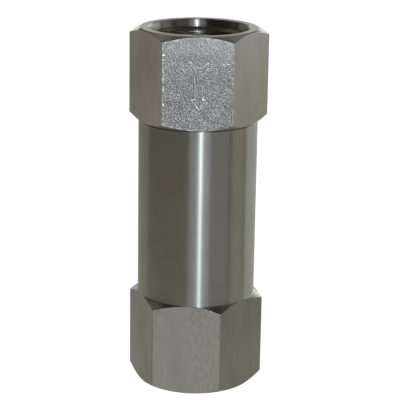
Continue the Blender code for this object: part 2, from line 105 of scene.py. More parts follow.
def angle(name, text, degrees):
    """An angle, given here in degrees."""
    return FloatProperty(name=name, description=text, default=math.radians(degrees), subtype="ANGLE")


def colour(name, text, default):
    """A linear colour."""
    return FloatVectorProperty(
        name=name, description=text, default=default, min=0.0, max=1.0, size=3, subtype="COLOR"
    )


def share(name, text, default):
    """A plain number from nought to one."""
    return FloatProperty(name=name, description=text, default=default, min=0.0, max=1.0, subtype="FACTOR")


class HexagonSizes(PropertyGroup):
    """Chamfers and edges of the two hexagon ends."""

    chamfer_circle: length("Chamfer circle", "Radius where a chamfer meets its end face", 13.4 * MM)
    inlet_top_circle: length("Inlet top circle", "Radius of the flat part of the top face", 13.24 * MM)
    barrel_radius: length("Barrel radius", "Radius of the barrel between the two hexagons", 13.47 * MM)
    inlet_top_drop: length("Inlet top drop", "Height of the chamfer at the inlet's top corners", 1.37 * MM)
    inlet_lower_rise: length("Inlet lower rise", "Height of the chamfer under the inlet hexagon", 1.32 * MM)
    outlet_top_drop: length("Outlet top drop", "Height of the chamfer at the barrel", 1.40 * MM)
    outlet_lower_rise: length("Outlet lower rise", "Height of the chamfer at the foot", 1.55 * MM)
    outlet_height: length("Outlet height", "Height of the outlet hexagon", 21.0 * MM)
    outlet_turn: angle("Outlet turn", "Turn of the outlet hexagon against the inlet hexagon", -7.6)
    ridge_radius: length("Ridge radius", "Rounding of the six upright ridges", 0.22 * MM)
    edge_reach: length("Edge reach", "How far the rounding of an edge reaches to either side", 0.07 * MM)


class PortSizes(PropertyGroup):
    """Pipe thread in both ends."""

    mouth_radius: length("Mouth radius", "Radius of the countersink at the end face", 11.35 * MM)
    lip_height: length("Lip height", "Height of the bevel at the mouth's lip", 0.24 * MM)
    mouth_depth: length("Mouth depth", "Depth where the countersink meets the thread", 1.7 * MM)
    mouth_slope: share("Mouth slope", "Radius lost by the countersink for each unit of depth", 0.22)
    major_radius: length("Thread major radius", "Radius at the bottom of the thread", 10.48 * MM)
    minor_radius: length("Thread minor radius", "Radius at the crest of the thread", 9.32 * MM)
    pitch: length("Thread pitch", "Distance between neighbouring threads", 1.814 * MM)
    depth: length("Port depth", "Depth of the threaded port", 17.0 * MM)
    flow_radius: length("Flow radius", "Radius of the passage behind the port", 6.2 * MM)


class GrainSizes(PropertyGroup):
    """Rough front flat of the inlet hexagon and the flow arrow stamped in it."""

    cell: length("Grain size", "Distance between neighbouring grains", 0.27 * MM)
    depth: length("Grain depth", "Height between the lowest and the highest grain", 0.095 * MM)
    arrow_depth: length("Arrow depth", "Depth of the stamped line", 0.06 * MM)
    arrow_line: length("Arrow line", "Half the width of the stamped line", 0.11 * MM)
    arrow_offset: length("Arrow offset", "Distance of the arrow from the middle of the flat", 0.30 * MM)
    arrow_tip: length("Arrow tip", "Height of the arrow's tip above the outlet face", 66.4 * MM)


class FinishColours(PropertyGroup):
    """Colours of the materials."""

    satin: colour("Inlet flats", "Drawn flats of the inlet hexagon", (0.522, 0.508, 0.480))
    # painted shade: the outlet flats get a darker colour than the inlet flats, standing in for the shade on
    # the lower hexagon
    satin_outlet: colour("Outlet flats", "Drawn flats of the outlet hexagon", (0.270, 0.263, 0.249))
    worn: colour("Worn flat", "Front flat of the outlet hexagon", (0.425, 0.424, 0.410))
    turned: colour("Turned steel", "Turned faces, barrel and bores", (0.350, 0.346, 0.318))
    faced: colour("End faces", "Ring-shaped end faces and their chamfers", (0.40, 0.39, 0.37))
    thread: colour("Threads", "Pipe threads and joint thread", (0.440, 0.428, 0.405))
    grain: colour("Grainy flat", "Rough front flat of the inlet", (0.325, 0.318, 0.306))
    # painted highlight: the worn bright spots get a paler colour that stands in for the highlights on burrs
    # and on the arrow's line
    rubbed: colour("Rubbed spots", "Bright spots of the rough flat", (0.56, 0.56, 0.54))
    ground: colour("Ground steel", "Seat ring, poppet, stem and washers", (0.55, 0.54, 0.52))
    wire: colour("Spring wire", "Drawn spring wire", (0.50, 0.49, 0.47))
    rubber: colour("Rubber", "O-rings", (0.020, 0.018, 0.017))
    white_ptfe: colour("White PTFE", "Back-up rings and bush", (0.78, 0.77, 0.73))
    filled_ptfe: colour("Filled PTFE", "Poppet seal", (0.30, 0.22, 0.14))


class StageSizes(PropertyGroup):
    """Camera and light."""

    camera_distance: length("Camera distance", "Level distance from the valve's axis", 329.7 * MM)
    camera_height: length("Camera height", "Height above the outlet face", 136.9 * MM)
    camera_azimuth: angle("Camera azimuth", "Turn of the camera towards +X", 0.785)
    camera_roll: angle("Camera roll", "Turn of the camera about its view", 0.888)
    aim_height: length("Aim height", "Height of the point aimed at", 42.19 * MM)
    aim_side: length("Aim side", "Distance of the point aimed at from the axis", 0.707 * MM)
    lens: FloatProperty(name="Lens", description="Focal length in millimetres", default=134.64)
    floor: colour("Floor", "Floor and room as the camera sees them", (0.97, 0.97, 0.97))
    floor_glow: colour("Floor glow", "Floor at a distance as the steel mirrors it", (0.184, 0.158, 0.137))
    floor_pool: colour("Floor pool", "Light added on the floor about the valve", (0.250, 0.248, 0.198))
    pool_radius: length("Pool radius", "Distance from the axis where that light ends", 300.0 * MM)
    surroundings: colour("Surroundings", "Room as the steel mirrors it", (0.045, 0.032, 0.012))


SETTINGS = {
    "valve_hexagon": HexagonSizes,
    "valve_port": PortSizes,
    "valve_grain": GrainSizes,
    "valve_finish": FinishColours,
    "valve_stage": StageSizes,
}


# ---------------------------------------------------------------------------------------
# Surfaces
# ---------------------------------------------------------------------------------------


def smooth(value, low, high):
    """Rises from 0 at low to 1 at high along 3t^2 - 2t^3."""
    t = np.clip((value - low) / (high - low), 0.0, 1.0)
    return t * t * (3.0 - 2.0 * t)


def hashed(i, j, seed):
    """Repeatable numbers from 0 to 1 for whole-number places, by mixing their bits."""
    i = i.astype(np.uint64)
    j = j.astype(np.uint64)
    value = i * np.uint64(374761393) + j * np.uint64(668265263) + np.uint64(seed * 2246822519)
    value = (value ^ (value >> np.uint64(13))) * np.uint64(1274126177)
    value = value ^ (value >> np.uint64(16))
    return (value & np.uint64(0xFFFFFF)).astype(float) / float(0xFFFFFF)


def value_noise(u, v, cell, seed):
    """Noise from 0 to 1: random values on a square lattice, blended smoothly between its points."""
    offset = 4096.0
    x = u / cell + offset
    y = v / cell + offset
    i = np.floor(x)
    j = np.floor(y)
    fx = smooth(x - i, 0.0, 1.0)
    fy = smooth(y - j, 0.0, 1.0)
    top = hashed(i, j + 1, seed) * (1 - fx) + hashed(i + 1, j + 1, seed) * fx
    bottom = hashed(i, j, seed) * (1 - fx) + hashed(i + 1, j, seed) * fx
    return bottom * (1 - fy) + top * fy


def circle_directions(columns):
    """Unit vectors evenly round the axis, counter-clockwise."""
    turn = np.arange(columns) / columns * TAU
    return np.stack([np.cos(turn), np.sin(turn)], axis=-1)


class Outline:
    """Outline of a hexagon with rounded ridges, counter-clockwise.

    points: its points; flat: which flat each lies on, -1 on a ridge; across: place along the flat.
    Flat 0 faces -Y before the turn. Its points sit closer together towards its middle, by the
    rule s -> 0.8 s + 0.2 s^3; the other flats are spaced evenly.
    """

    def __init__(self, apothem, ridge_radius, turn, front_columns, side_columns, ridge_columns):
        half = (apothem - ridge_radius) * math.tan(THIRTY_DEGREES)
        points, flats, across = [], [], []
        for number in range(6):
            facing = math.radians(-90.0 + 60.0 * number) + turn
            normal = np.array([math.cos(facing), math.sin(facing)])
            along = np.array([-math.sin(facing), math.cos(facing)])
            columns = side_columns if number else front_columns
            s = np.linspace(-1.0, 1.0, columns)
            place = half * (s if number else 0.8 * s + 0.2 * s**3)
            points.append(normal * apothem + place[:, None] * along)
            flats.append(np.full(columns, number))
            across.append(place)
            centre_angle = facing + THIRTY_DEGREES
            centre_distance = (apothem - ridge_radius) / math.cos(THIRTY_DEGREES)
            centre = centre_distance * np.array([math.cos(centre_angle), math.sin(centre_angle)])
            sweep = facing + SIXTY_DEGREES * np.arange(1, ridge_columns + 1) / (ridge_columns + 1)
            points.append(centre + ridge_radius * np.stack([np.cos(sweep), np.sin(sweep)], axis=-1))
            flats.append(np.full(ridge_columns, -1))
            across.append(np.full(ridge_columns, half))
        self.points = np.concatenate(points)
        self.flat = np.concatenate(flats)
        self.across = np.concatenate(across)
        self.radius = np.linalg.norm(self.points, axis=1)
        self.directions = self.points / self.radius[:, None]
        self.half = half


def ring_at(directions, radius, height):
    """A ring of points: each direction times its radius, at a height; either may vary round the ring."""
    count = len(directions)
    radius = np.broadcast_to(radius, (count,))
    height = np.broadcast_to(height, (count,))
    return np.column_stack([directions * radius[:, None], height])


class Section:
    """Rings of points listed along a section: down the outside, then up the inside.

    Each ring carries the reach of its rounding and the finish of the band that follows it.
    """

    def __init__(self, directions):
        self.directions = directions
        self.stations = []

    def ring(self, radius, height, reach=0.0, finish=0):
        self.stations.append((ring_at(self.directions, radius, height), reach, finish))

    def add(self, finish, *stations):
        """Rings from (radius, height, reach) stations, all in one finish."""
        for radius, height, reach in stations:
            self.ring(radius, height, reach, finish)

    def rings(self, closed=True):
        """All rings with the rounded edges filled in, and the finish of each band.

        A rounded edge is a quadratic Bezier curve from a point before the edge to a point after
        it, with the edge as its control point. One more ring on either side keeps the shading of
        the neighbouring faces flat.
        """
        rows, finishes = [], []
        count = len(self.stations)
        for index, (edge, reach, finish) in enumerate(self.stations):
            inner = closed or 0 < index < count - 1
            if reach == 0.0 or not inner:
                rows.append(edge)
                finishes.append(finish)
                continue
            before = self.stations[index - 1][0] - edge
            after = self.stations[(index + 1) % count][0] - edge
            before_length = np.linalg.norm(before, axis=1, keepdims=True)
            after_length = np.linalg.norm(after, axis=1, keepdims=True)
            room = np.minimum(reach, EDGE_SHARE * np.minimum(before_length, after_length))
            start = before / before_length * room
            end = after / after_length * room
            previous = self.stations[index - 1][2]
            rows.append(edge + start * EDGE_MARGIN)
            finishes.append(previous)
            for t in np.linspace(0.0, 1.0, EDGE_STEPS + 1):
                rows.append(edge + start * (1 - t) ** 2 + end * t**2)
                finishes.append(previous if t < 0.5 else finish)
            rows.append(edge + end * EDGE_MARGIN)
            finishes.append(finish)
        return np.array(rows), np.array(finishes)


def grid_faces(rows, columns, wrap_rows, wrap_columns):
    """Corner numbers of the four-sided faces of a grid, facing out for rings that run down."""
    index = np.arange(rows * columns).reshape(rows, columns)
    if wrap_rows:
        index = np.vstack([index, index[:1]])
    if wrap_columns:
        index = np.hstack([index, index[:, :1]])
    corners = [index[:-1, :-1], index[1:, :-1], index[1:, 1:], index[:-1, 1:]]
    return np.stack(corners, axis=-1).reshape(-1, 4)


def make_object(name, points, faces, finishes, materials):
    """A mesh object at the origin, smooth except at its sharp edges."""
    mesh = bpy.data.meshes.new(name)
    mesh.from_pydata(points.reshape(-1, 3).tolist(), [], faces)
    mesh.polygons.foreach_set("material_index", np.asarray(finishes, dtype=np.int32))
    for material in materials:
        mesh.materials.append(material)
    mesh.shade_smooth()
    mesh.set_sharp_from_angle(angle=SHARP_ANGLE)
    mesh.update()
    piece = bpy.data.objects.new(name, mesh)
    bpy.context.scene.collection.objects.link(piece)
    return piece


def skin(name, points, finishes, materials, closed=True, face_finishes=None):
    """A piece from stacked rings. An open section is closed by a flat face at each end."""
    rows, columns = points.shape[:2]
    faces = grid_faces(rows, columns, closed, True)
    if face_finishes is None:
        bands = finishes if closed else finishes[:-1]
        face_finishes = np.repeat(bands, columns)
    faces = faces.tolist()
    face_finishes = list(face_finishes)
    if not closed:
        faces.append(list(range(columns)))
        faces.append([rows * columns - 1 - i for i in range(columns)])
        face_finishes += [finishes[0], finishes[-1]]
    return make_object(name, points, faces, face_finishes, materials)


def turned(node, body, slot, material, profile, columns=96):
    """A turned piece of one finish from (radius, height, reach) stations."""
    section = Section(circle_directions(columns))
    section.add(0, *profile)
    points, finishes = section.rings()
    piece = skin(node + "_finished", points, finishes, [get_material(material)])
    return finish_piece(piece, body, slot, node)


def swept(name, points, materials):
    """A bar from cross-sections listed along its path: closed round each, with flat ends.

    A cross-section runs inner side, bottom, outer side, top, so that the faces point out.
    """
    length_count, around = points.shape[:2]
    faces = grid_faces(length_count, around, False, True).tolist()
    faces.append(list(range(around)))
    faces.append([length_count * around - 1 - i for i in range(around)])
    return make_object(name, points, faces, [0] * len(faces), materials)


def thread_wave(phase):
    """Rounded vee thread, from -1 at its root to 1 at its crest, for a phase in turns.

    A triangle wave is steepened by half, cut off at -1 and 1, and eased by x(1.25 - 0.25 x^2).
    """
    ramp = 1.0 - 4.0 * np.abs(phase % 1.0 - 0.5)
    cut = np.clip(1.5 * ramp, -1.0, 1.0)
    return cut * (1.25 - 0.25 * cut**2)


def thread_radius(directions, height, pitch, low, high, start=0.0):
    """Radius of a right-hand thread at one height, for every direction."""
    turns = np.arctan2(directions[:, 1], directions[:, 0]) / TAU
    return low + (high - low) * 0.5 * (1.0 + thread_wave((height - start) / pitch - turns))


def finish_piece(piece, body, slot, *nodes):
    """Let a piece ride on its body and stand for its CAD nodes, which are hidden. The slot is not used."""
    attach(piece, body)
    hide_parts(*nodes)
    return piece


# ---------------------------------------------------------------------------------------
# Materials
# ---------------------------------------------------------------------------------------


def new_group(name, inputs, outputs):
    """A shader node group with named float or colour sockets."""
    group = bpy.data.node_groups.new(name, "ShaderNodeTree")
    for label, kind, default in inputs:
        socket = group.interface.new_socket(name=label, in_out="INPUT", socket_type=kind)
        socket.default_value = default
    for label, kind in outputs:
        group.interface.new_socket(name=label, in_out="OUTPUT", socket_type=kind)
    return group, group.nodes.new("NodeGroupInput"), group.nodes.new("NodeGroupOutput")


def math_node(tree, operation, first, second=None, clamp=False):
    """A Math node; an operand is a number or another node's socket."""
    node = tree.nodes.new("ShaderNodeMath")
    node.operation = operation
    node.use_clamp = clamp
    for socket, value in zip(node.inputs, (first, second)):
        if value is None:
            continue
        if isinstance(value, bpy.types.NodeSocket):
            tree.links.new(value, socket)
        else:
            socket.default_value = value
    return node.outputs[0]


def noise_node(tree, vector, scale, detail=3.0, roughness=0.5):
    """A noise texture; the scale is a number or a socket."""
    node = tree.nodes.new("ShaderNodeTexNoise")
    node.inputs["Detail"].default_value = detail
    node.inputs["Roughness"].default_value = roughness
    tree.links.new(vector, node.inputs["Vector"])
    if isinstance(scale, bpy.types.NodeSocket):
        tree.links.new(scale, node.inputs["Scale"])
    else:
        node.inputs["Scale"].default_value = scale
    return node.outputs["Fac"]


def remap(tree, value, low, high, out_low, out_high):
    """Stretch a value from one range to another, held at the ends."""
    node = tree.nodes.new("ShaderNodeMapRange")
    for label, item in zip(("From Min", "From Max", "To Min", "To Max"), (low, high, out_low, out_high)):
        if isinstance(item, bpy.types.NodeSocket):
            tree.links.new(item, node.inputs[label])
        else:
            node.inputs[label].default_value = item
    tree.links.new(value, node.inputs["Value"])
    return node.outputs["Result"]


BANDS_PER_METRE = 420.0


def object_axes(tree):
    """The three object coordinates."""
    split = tree.nodes.new("ShaderNodeSeparateXYZ")
    tree.links.new(tree.nodes.new("ShaderNodeTexCoord").outputs["Object"], split.inputs[0])
    return split.outputs


def joined(tree, *axes):
    """A vector from three sockets."""
    node = tree.nodes.new("ShaderNodeCombineXYZ")
    for socket, axis in zip(node.inputs, axes):
        tree.links.new(axis, socket)
    return node.outputs[0]


def turning_group():
    """Fine rings left by turning: noise read along the radius and the height only."""
    group, given, result = new_group(
        "turning_marks",
        [("Rings per metre", "NodeSocketFloat", 6000.0), ("Drift", "NodeSocketFloat", 0.02)],
        [("Height", "NodeSocketFloat"), ("Band", "NodeSocketFloat")],
    )
    x, y, z = object_axes(group)
    x_square = math_node(group, "MULTIPLY", x, x)
    y_square = math_node(group, "MULTIPLY", y, y)
    radius = math_node(group, "SQRT", math_node(group, "ADD", x_square, y_square))
    drift = math_node(group, "MULTIPLY", x, given.outputs["Drift"])
    place = joined(group, radius, drift, z)
    fine = noise_node(group, place, given.outputs["Rings per metre"], 4.0, 0.6)
    broad = noise_node(group, place, BANDS_PER_METRE, 2.0, 0.5)
    group.links.new(fine, result.inputs["Height"])
    group.links.new(broad, result.inputs["Band"])
    return group


def mottle_group():
    """Uneven tone of handled metal: two sizes of soft blotches."""
    group, given, result = new_group(
        "metal_mottle",
        [
            ("Blotches per metre", "NodeSocketFloat", 160.0),
            ("Speckles per metre", "NodeSocketFloat", 2600.0),
            ("Stretch", "NodeSocketFloat", 1.0),
        ],
        [("Tone", "NodeSocketFloat"), ("Speckle", "NodeSocketFloat")],
    )
    x, y, z = object_axes(group)
    place = joined(group, x, y, math_node(group, "MULTIPLY", z, given.outputs["Stretch"]))
    tone = noise_node(group, place, given.outputs["Blotches per metre"], 2.0, 0.5)
    speckle = noise_node(group, place, given.outputs["Speckles per metre"], 2.0, 0.6)
    group.links.new(tone, result.inputs["Tone"])
    group.links.new(speckle, result.inputs["Speckle"])
    return group


def corner_shade_group():
    """Painted shade in inner corners and hollows, from how sharply the surface bends."""
    group, given, result = new_group(
        "inner_corners", [("Sensitivity", "NodeSocketFloat", 1.0)], [("Corner", "NodeSocketFloat")]
    )
    bend = group.nodes.new("ShaderNodeNewGeometry").outputs["Pointiness"]
    bend = math_node(group, "SUBTRACT", bend, 0.5)
    bend = math_node(group, "MULTIPLY", bend, given.outputs["Sensitivity"])
    group.links.new(remap(group, bend, -0.02, -0.10, 0.0, 1.0), result.inputs["Corner"])
    return group


GROUPS = {"turning_marks": turning_group, "metal_mottle": mottle_group, "inner_corners": corner_shade_group}


def place_group(tree, name, **values):
    """Put a shared group, built at its first use, in a material with its own values."""
    node = tree.nodes.new("ShaderNodeGroup")
    node.node_tree = bpy.data.node_groups.get(name) or GROUPS[name]()
    for label, value in values.items():
        node.inputs[label.replace("_", " ")].default_value = value
    return node


def mixed(tree, factor, first, second):
    """Mix two colours; each may be a colour or a socket."""
    node = tree.nodes.new("ShaderNodeMix")
    node.data_type = "RGBA"
    tree.links.new(factor, node.inputs["Factor"])
    for label, item in (("A", first), ("B", second)):
        socket = next(s for s in node.inputs if s.name == label and s.type == "RGBA")
        if isinstance(item, bpy.types.NodeSocket):
            tree.links.new(item, socket)
        else:
            socket.default_value = (*item, 1.0)
    return next(socket for socket in node.outputs if socket.type == "RGBA")


def scaled(base, factor):
    """A colour made lighter or darker, held at one."""
    return [min(channel * factor, 1.0) for channel in base]


def tinted(tree, base, tone, low, high):
    """A colour made darker or lighter by a noise value."""
    return mixed(tree, remap(tree, tone, 0.3, 0.7, 0.0, 1.0), scaled(base, low), scaled(base, high))


class Finish:
    """A material under construction: its tree and its Principled BSDF."""

    def __init__(self, name, metallic, roughness):
        self.material = bpy.data.materials.new(name)
        self.material.use_nodes = True
        self.tree = self.material.node_tree
        self.shader = self.tree.nodes["Principled BSDF"]
        self.shader.inputs["Metallic"].default_value = metallic
        self.shader.inputs["Roughness"].default_value = roughness

    def set(self, label, value):
        self.shader.inputs[label].default_value = value

    def link(self, socket, label):
        self.tree.links.new(socket, self.shader.inputs[label])

    def bump(self, height, distance, strength=1.0):
        """Add a relief; a second call stacks on the first."""
        node = self.tree.nodes.new("ShaderNodeBump")
        node.inputs["Distance"].default_value = distance
        node.inputs["Strength"].default_value = strength
        self.tree.links.new(height, node.inputs["Height"])
        normal = self.shader.inputs["Normal"]
        if normal.is_linked:
            self.tree.links.new(normal.links[0].from_socket, node.inputs["Normal"])
        self.tree.links.new(node.outputs["Normal"], normal)


# Heights between which the rough flat grows paler
PALE_LOW = 75.0 * MM
PALE_HIGH = 79.0 * MM


def uneven(made, value, roughness, low, high):
    """Roughness that a noise value moves between two shares of its middle."""
    made.link(remap(made.tree, value, 0.3, 0.7, roughness * low, roughness * high), "Roughness")


def turned_finish(name, base, roughness, rings=7000.0, relief=0.00015 * MM, anisotropic=1.0):
    """Turned steel: rings round the axis, drawn-out highlights along it."""
    made = Finish(name, 1.0, roughness)
    made.set("Anisotropic", anisotropic)
    made.set("Anisotropic Rotation", 0.25)
    marks = place_group(made.tree, "turning_marks", Rings_per_metre=rings)
    mottle = place_group(made.tree, "metal_mottle", Blotches_per_metre=140.0)
    bands = math_node(made.tree, "MULTIPLY", marks.outputs["Band"], 0.3)
    blotches = math_node(made.tree, "MULTIPLY", mottle.outputs["Tone"], 0.7)
    tone = math_node(made.tree, "ADD", bands, blotches)
    made.link(tinted(made.tree, base, tone, 0.94, 1.06), "Base Color")
    uneven(made, marks.outputs["Band"], roughness, 0.96, 1.05)
    made.bump(marks.outputs["Height"], relief)
    return made.material


def satin_finish(name, base, roughness, speck=0.0):
    """Satin flats: soft blotches, faint grain along the bar and small nicks."""
    made = Finish(name, 1.0, roughness)
    mottle = place_group(made.tree, "metal_mottle", Blotches_per_metre=170.0, Stretch=0.35)
    painted = tinted(made.tree, base, mottle.outputs["Tone"], 0.90, 1.12)
    if speck:
        specks = tinted(made.tree, base, mottle.outputs["Speckle"], 1.0 - speck, 1.0 + speck)
        patch = remap(made.tree, mottle.outputs["Tone"], 0.42, 0.58, 0.15, 1.0)
        painted = mixed(made.tree, patch, painted, specks)
    made.link(painted, "Base Color")
    uneven(made, mottle.outputs["Tone"], roughness, 1.1, 0.9)
    made.bump(mottle.outputs["Speckle"], 0.004 * MM)
    return made.material


def grain_finish(name, base, roughness):
    """Rough rolled skin: dark and bright specks of painted shade and painted glints, painted shade in its
    hollows, in soft patches, paler near its top.
    """
    made = Finish(name, 1.0, roughness)
    tree = made.tree
    mottle = place_group(tree, "metal_mottle", Blotches_per_metre=380.0, Speckles_per_metre=4000.0)
    glints = place_group(tree, "metal_mottle", Blotches_per_metre=5200.0, Speckles_per_metre=3100.0)
    broad = place_group(tree, "metal_mottle", Blotches_per_metre=150.0)
    # painted shade: the corners and hollows of the grain are made darker
    corners = place_group(tree, "inner_corners", Sensitivity=0.8)
    # painted shade and painted highlight: the fine speckle mixes a dark and a bright tone for the shade and
    # the glints of the grains
    low = tinted(tree, base, mottle.outputs["Tone"], 0.48, 0.62)
    high = tinted(tree, base, mottle.outputs["Tone"], 1.22, 1.52)
    fine = remap(tree, mottle.outputs["Speckle"], 0.40, 0.60, 0.0, 1.0)
    painted = mixed(tree, fine, low, high)
    patch = remap(tree, broad.outputs["Tone"], 0.40, 0.62, 0.16, 0.0)
    upper = remap(tree, object_axes(tree)[2], PALE_LOW, PALE_HIGH, 0.0, 0.30)
    # painted highlight: glints as spots of a much brighter colour
    glint = remap(tree, glints.outputs["Tone"], 0.60, 0.68, 0.0, 1.0)
    layers = ((patch, 0.5), (upper, 1.75), (glint, 2.6), (corners.outputs["Corner"], 0.55))
    for mask, factor in layers:
        painted = mixed(tree, mask, painted, scaled(base, factor))
    made.link(painted, "Base Color")
    uneven(made, mottle.outputs["Tone"], roughness, 1.2, 0.8)
    made.bump(mottle.outputs["Speckle"], 0.12 * MM)
    return made.material


def soft_finish(name, base, roughness, relief):
    """Rubber or plastic: faint blotches and a fine surface."""
    made = Finish(name, 0.0, roughness)
    mottle = place_group(made.tree, "metal_mottle", Blotches_per_metre=300.0)
    made.link(tinted(made.tree, base, mottle.outputs["Tone"], 0.85, 1.15), "Base Color")
    uneven(made, mottle.outputs["Speckle"], roughness, 0.9, 1.1)
    made.bump(mottle.outputs["Speckle"], relief)
    return made.material


# For each material: how it is made, its colour among the settings, its roughness, and more
FINISHES = {
    "valve_satin": (satin_finish, "satin", 0.34),
    # painted shade: a darker copy of the satin flats for the outlet hexagon
    "valve_satin_outlet": (satin_finish, "satin_outlet", 0.34),
    "valve_worn": (satin_finish, "worn", 0.40, 0.15),
    "valve_turned": (turned_finish, "turned", 0.33),
    "valve_faced": (turned_finish, "faced", 0.30, 7000.0, 0.0004 * MM, 0.4),
    "valve_thread": (turned_finish, "thread", 0.26, 9000.0, 0.0006 * MM, 0.3),
    "valve_grain": (grain_finish, "grain", 0.36),
    "valve_rubbed": (satin_finish, "rubbed", 0.36),
    "valve_ground": (turned_finish, "ground", 0.24, 9000.0, 0.0006 * MM, 0.5),
    "valve_wire": (satin_finish, "wire", 0.26),
    "valve_rubber": (soft_finish, "rubber", 0.50, 0.004 * MM),
    "valve_white_ptfe": (soft_finish, "white_ptfe", 0.42, 0.003 * MM),
    "valve_filled_ptfe": (soft_finish, "filled_ptfe", 0.45, 0.005 * MM),
}


def get_material(name):
    """One of the valve's materials, made the first time that it is asked for."""
    if name in bpy.data.materials:
        return bpy.data.materials[name]
    make, tone, roughness, *more = FINISHES[name]
    return make(name, getattr(bpy.context.scene.valve_finish, tone), roughness, *more)


# ---------------------------------------------------------------------------------------
# The two bodies
# ---------------------------------------------------------------------------------------

TURNED, SATIN, THREAD, ODD_FLAT, FACED, RUB_HIGHLIGHT = range(6)
CAP_MATERIALS = (
    "valve_turned",
    "valve_satin",
    "valve_thread",
    "valve_grain",
    "valve_faced",
    "valve_rubbed",
)
BODY_MATERIALS = (
    "valve_turned",
    "valve_satin_outlet",
    "valve_thread",
    "valve_worn",
    "valve_faced",
)
PORT_ROWS = 140
NECK_RADIUS = 9.9 * MM
THROAT_RADIUS = 7.6 * MM
DENT_COUNT = 26
DENT_SEED = 7
JOINT_PITCH = 1.5 * MM
JOINT_CREST = 10.12 * MM
JOINT_ROOT = 11.02 * MM
THREAD_CLEARANCE = 0.05 * MM
NOSE_RADIUS = 9.93 * MM
SEAL_GAP = 0.25 * MM
SEAL_BORE = 10.0 * MM
GLAND_DEPTH = 1.6 * MM
GROOVE_RADIUS = SEAL_BORE - GLAND_DEPTH
DRILL_POINT = math.radians(59.0)


def chamfer_height(outline, circle, end, drop):
    """Height where the end chamfer's cone meets the hexagon, for every point of the outline."""
    share_out = (outline.radius - circle) / (CORNER_RADIUS - circle)
    return end - drop * share_out


def add_hexagon(section, outline, top, bottom, rows, reach):
    """Flats of a hexagon between two edge curves, with evenly spaced rows between them."""
    section.ring(outline.radius, top, reach, SATIN)
    for t in np.linspace(0.0, 1.0, rows + 2)[1:-1]:
        section.ring(outline.radius, top + (bottom - top) * t, 0.0, SATIN)
    section.ring(outline.radius, bottom, reach, TURNED)


def port_rings(directions, port, mouth, inward):
    """Radii and heights of a threaded port, from its mouth inwards.

    The radius is the larger of the thread, which fades out before the bottom of the port, and
    the mouth: a small bevel at its lip, a steep cone, and a flatter cone down to the thread.
    """
    made = []
    for depth in np.linspace(0.1 * MM, port.depth, PORT_ROWS):
        height = mouth + inward * depth
        bevel = 0.6 * min(depth, port.lip_height)
        lead = 0.7 * max(depth - port.mouth_depth, 0.0)
        cone = port.mouth_radius - bevel - depth * port.mouth_slope - lead
        thread = thread_radius(directions, height, port.pitch, port.minor_radius, port.major_radius)
        fade = 1.0 - smooth(depth, port.depth - 2.2 * port.pitch, port.depth - port.pitch)
        made.append((np.maximum(cone, port.minor_radius + (thread - port.minor_radius) * fade), height))
    return made


def joint_thread(section, top, bottom, rows, clearance):
    """Rows of the thread that joins the two bodies, between two heights."""
    low = JOINT_CREST - clearance
    high = JOINT_ROOT - clearance
    for height in np.linspace(top, bottom, rows):
        radius = thread_radius(section.directions, height, JOINT_PITCH, low, high)
        section.ring(radius, height, 0.0, THREAD)


def segment_distance(u, v, start, end):
    """Distance from points to a straight line between two ends."""
    along = np.subtract(end, start)
    share_along = ((u - start[0]) * along[0] + (v - start[1]) * along[1]) / (along @ along)
    share_along = np.clip(share_along, 0.0, 1.0)
    return np.hypot(u - start[0] - share_along * along[0], v - start[1] - share_along * along[1])


def arrow_outline(tip):
    """Right half of a flow arrow that points down, as (half width, height) points from its tip.

    A small head, a narrow shaft and a tail that flares along a quarter of an ellipse to two
    points, with a notch between them.
    """
    head = 1.60 * MM
    shaft = 0.82 * MM
    tail = 2.15 * MM
    points = [(0.0, tip), (head, tip + 2.2 * MM), (shaft, tip + 2.35 * MM)]
    flare_start = tip + 5.0 * MM
    for t in np.linspace(0.0, 0.5 * math.pi, 8):
        points.append((tail - (tail - shaft) * math.cos(t), flare_start + 4.2 * MM * math.sin(t)))
    points.append((tail, tip + 10.5 * MM))
    points.append((0.0, tip + 9.2 * MM))
    return np.array(points)


def arrow_distance(across, height, sizes):
    """Distance from places on the flat to the arrow's line."""
    outline = arrow_outline(sizes.arrow_tip)
    u = np.abs(across - sizes.arrow_offset)
    distance = np.full(across.shape, 1.0)
    for start, end in zip(outline[:-1], outline[1:]):
        distance = np.minimum(distance, segment_distance(u, height, start, end))
    return distance


# The noises of the rough skin: weight, size against the grain size, seed
GRAIN_LAYERS = ((0.50, 1.0, 1), (0.32, 0.55, 2), (0.18, 3.1, 3))


def grain_relief(across, height, sizes):
    """Depth of the rough skin below the flat: three sizes of noise, and the stamped arrow.

    The arrow's line is a bell-shaped groove about its outline with a low burr beside it, and
    the skin is flatter inside it.
    """
    grain = sum(
        weight * value_noise(across, height, sizes.cell * size, seed) for weight, size, seed in GRAIN_LAYERS
    )
    outline = arrow_outline(sizes.arrow_tip)
    u = np.abs(across - sizes.arrow_offset)
    distance = arrow_distance(across, height, sizes)
    groove = np.exp(-((distance / sizes.arrow_line) ** 2))
    burr = np.exp(-(((distance - 2.2 * sizes.arrow_line) / sizes.arrow_line) ** 2))
    half_width = np.interp(height, outline[2:-1, 1], outline[2:-1, 0], left=0.0, right=0.0)
    inside = (u < half_width) & (distance > sizes.arrow_line)
    grain = np.where(inside, 0.52 + 0.8 * (grain - 0.5), grain)
    depth = sizes.depth * (1.0 - grain)
    return depth * (1.0 - 0.5 * groove) + sizes.arrow_depth * groove - 0.4 * sizes.arrow_depth * burr


